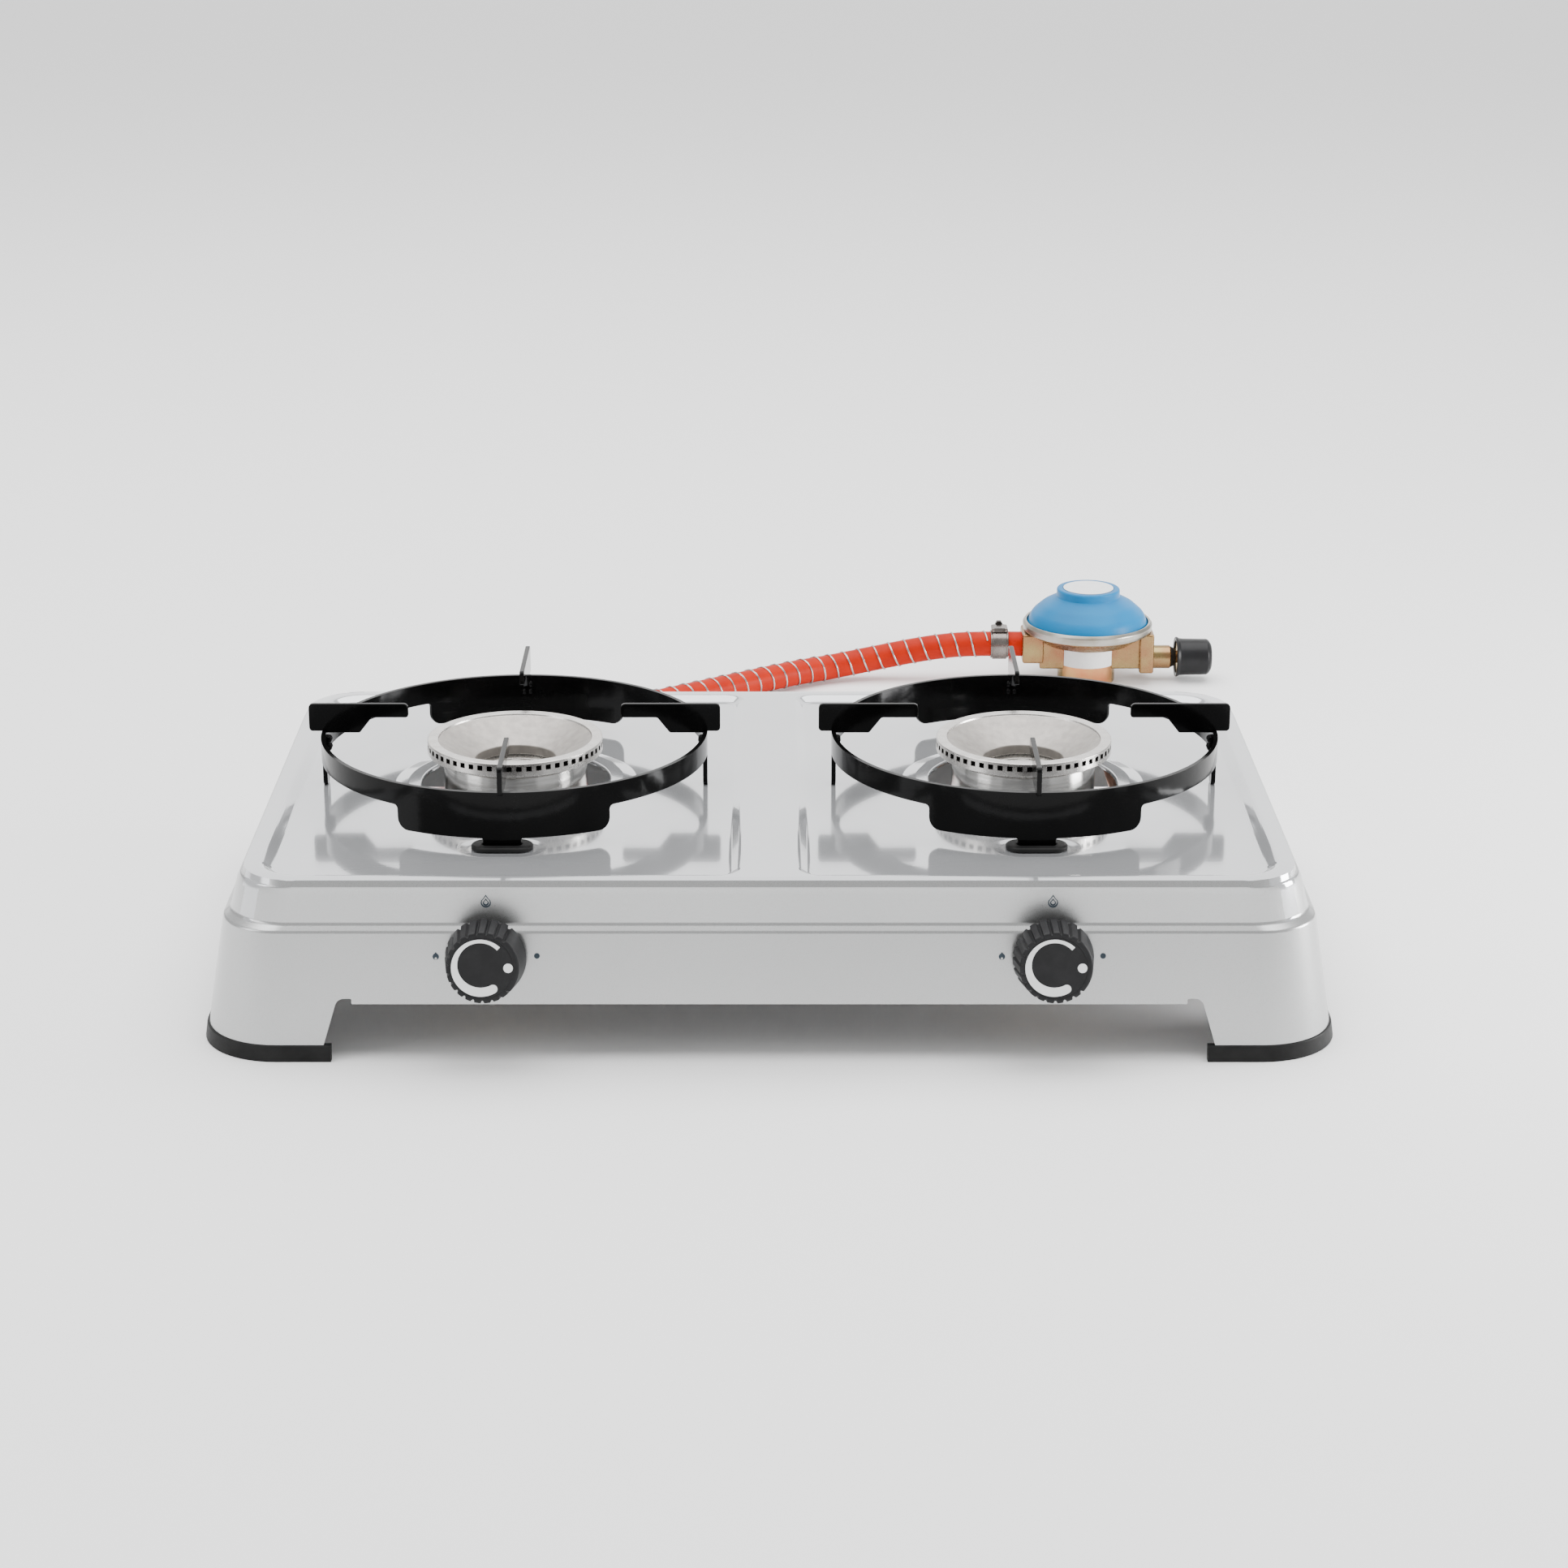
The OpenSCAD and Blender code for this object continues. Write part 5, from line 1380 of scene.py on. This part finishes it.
    def fittings(self) -> None:
        """Seal and soft thread cap."""
        low, high = box_mm("inlet_seal")
        seal = Shape().revolve(rounded([(3.5, 0), (6.2, 0), (4.4, high.x - low.x), (3.5, high.x - low.x),
                                        (3.5, 0)], [0, 0.4, 0.5, 0, 0], 3), 48)
        self.put(seal.along_x(low.x, self.y, self.neck_z), "cone_seal", (RUBBER,), ["inlet_seal"], "rubber")
        low, high = box_mm("thread_cap")
        length, r = high.x - low.x, (high.z - low.z) / 2 - 1.1
        inner = self.nut_r + 0.06
        cap = Shape().revolve(rounded([(inner, 0.4), (r + 0.8, 0.0), (r + 1.1, 0.7), (r + 0.2, 2.4),
                                       (r, 4.2), (r - 0.2, length - 2.2), (r - 3.0, length), (0, length)],
                                      [0.2, 0.3, 0.5, 1.5, 1.5, 1.8, 1.8, 0], 4)
                              + [(0, length - 1.3), (inner, length - 1.3), (inner, 0.4)], 96)
        self.put(cap.along_x(low.x, self.y, self.neck_z), "soft_thread_cap", (VINYL,), ["thread_cap"],
                 "cap_vinyl", "thread_cap")


# ---------- hidden works, kept from the frame ----------


@dataclass
class GasWay:
    """The valves, rail, pipe and brackets under the hob, which the frame already has right."""

    finishes: dict[str, Finish] = field(default_factory=lambda: {
        "valve_body": BRASS, "valve_plug": BRASS, "valve_spring": PLATED,
        "mixing_tube": SHEET, "burner_bracket": SHEET,
    })

    def build(self) -> None:
        """Dress every kept node."""
        for side in ("left", "right"):
            for part, finish in self.finishes.items():
                dress(f"{side}_{part}", finish)
        for node, finish in (("gas_rail", PLATED), ("rail_brackets", SHEET), ("inlet_pipe", COPPER),
                             ("inlet_nozzle", BRASS), ("gas_jets", BRASS), ("burner_screws", PLATED),
                             ("burner_nuts", PLATED), ("dial_marks", SLATE)):
            dress(node, finish)


# ---------- studio ----------


@dataclass
class Studio:
    """Camera, plain floor and soft light."""

    height: float = 0.5712
    distance: float = 1.4619
    pitch: float = 18.8
    lens: float = 78.73
    shift_x: float = 0.0093

    def camera(self) -> None:
        """Place the camera."""
        data = bpy.data.cameras.new("camera")
        data.sensor_width = 36.0
        data.lens = self.lens
        data.shift_x = self.shift_x
        data.clip_start, data.clip_end = 0.05, 60.0
        obj = bpy.data.objects.new("camera", data)
        obj.location = (0.0, -self.distance, self.height)
        obj.rotation_euler = (math.radians(90 - self.pitch), 0.0, 0.0)
        bpy.context.scene.collection.objects.link(obj)
        bpy.context.scene.camera = obj

    def floor(self) -> None:
        """Lay the pale floor."""
        bm = bmesh.new()
        bmesh.ops.create_grid(bm, x_segments=1, y_segments=1, size=20.0)
        mesh = bpy.data.meshes.new("floor")
        bm.to_mesh(mesh)
        bm.free()
        floor = bpy.data.objects.new("floor", mesh)
        material = bpy.data.materials.new("pale floor")
        material.use_nodes = True
        shader = material.node_tree.nodes["Principled BSDF"]
        shader.inputs["Base Color"].default_value = (0.92, 0.92, 0.92, 1.0)
        shader.inputs["Roughness"].default_value = 0.9
        mesh.materials.append(material)
        bpy.context.scene.collection.objects.link(floor)

    def light(self) -> None:
        """Set the world and the soft boxes."""
        world = bpy.data.worlds.new("studio")
        world.use_nodes = True
        world.node_tree.nodes["Background"].inputs["Color"].default_value = (1.0, 1.0, 1.0, 1.0)
        world.node_tree.nodes["Background"].inputs["Strength"].default_value = 0.75
        bpy.context.scene.world = world
        for name, spot, size, power, aim in (
            ("top softbox", (0.0, 0.35, 2.2), (3.2, 2.4), 115.0, (0, 0.1, 0)),
            ("rear softbox", (0.0, 4.8, 2.3), (7.5, 3.6), 130.0, (0, 0, 0.6)),
            ("left softbox", (-1.7, -0.7, 0.9), (0.8, 1.2), 10.0, (0, 0, 0.05)),
            ("right softbox", (1.1, 0.0, 0.24), (0.36, 0.42), 15.0, (0.2, -0.1, 0.05)),
        ):
            data = bpy.data.lights.new(name, "AREA")
            data.shape = "RECTANGLE"
            data.size, data.size_y = size
            data.energy = power
            lamp = bpy.data.objects.new(name, data)
            lamp.location = spot
            lamp.rotation_euler = (Vector(aim) - Vector(spot)).to_track_quat("-Z", "Y").to_euler()
            bpy.context.scene.collection.objects.link(lamp)


def main() -> None:
    """Build the scene in order."""
    logging.basicConfig(level=logging.INFO, format="%(message)s")
    studio = Studio()
    studio.camera()
    studio.floor()
    studio.light()
    regulator = Regulator().build()
    GasHose().build(regulator)
    Hob().build()
    for side in ("left", "right"):
        PanSupport(side).build()
        Burner(side).build()
        Knob(side).build()
    GasWay().build()


if __name__ == "__main__":
    main()
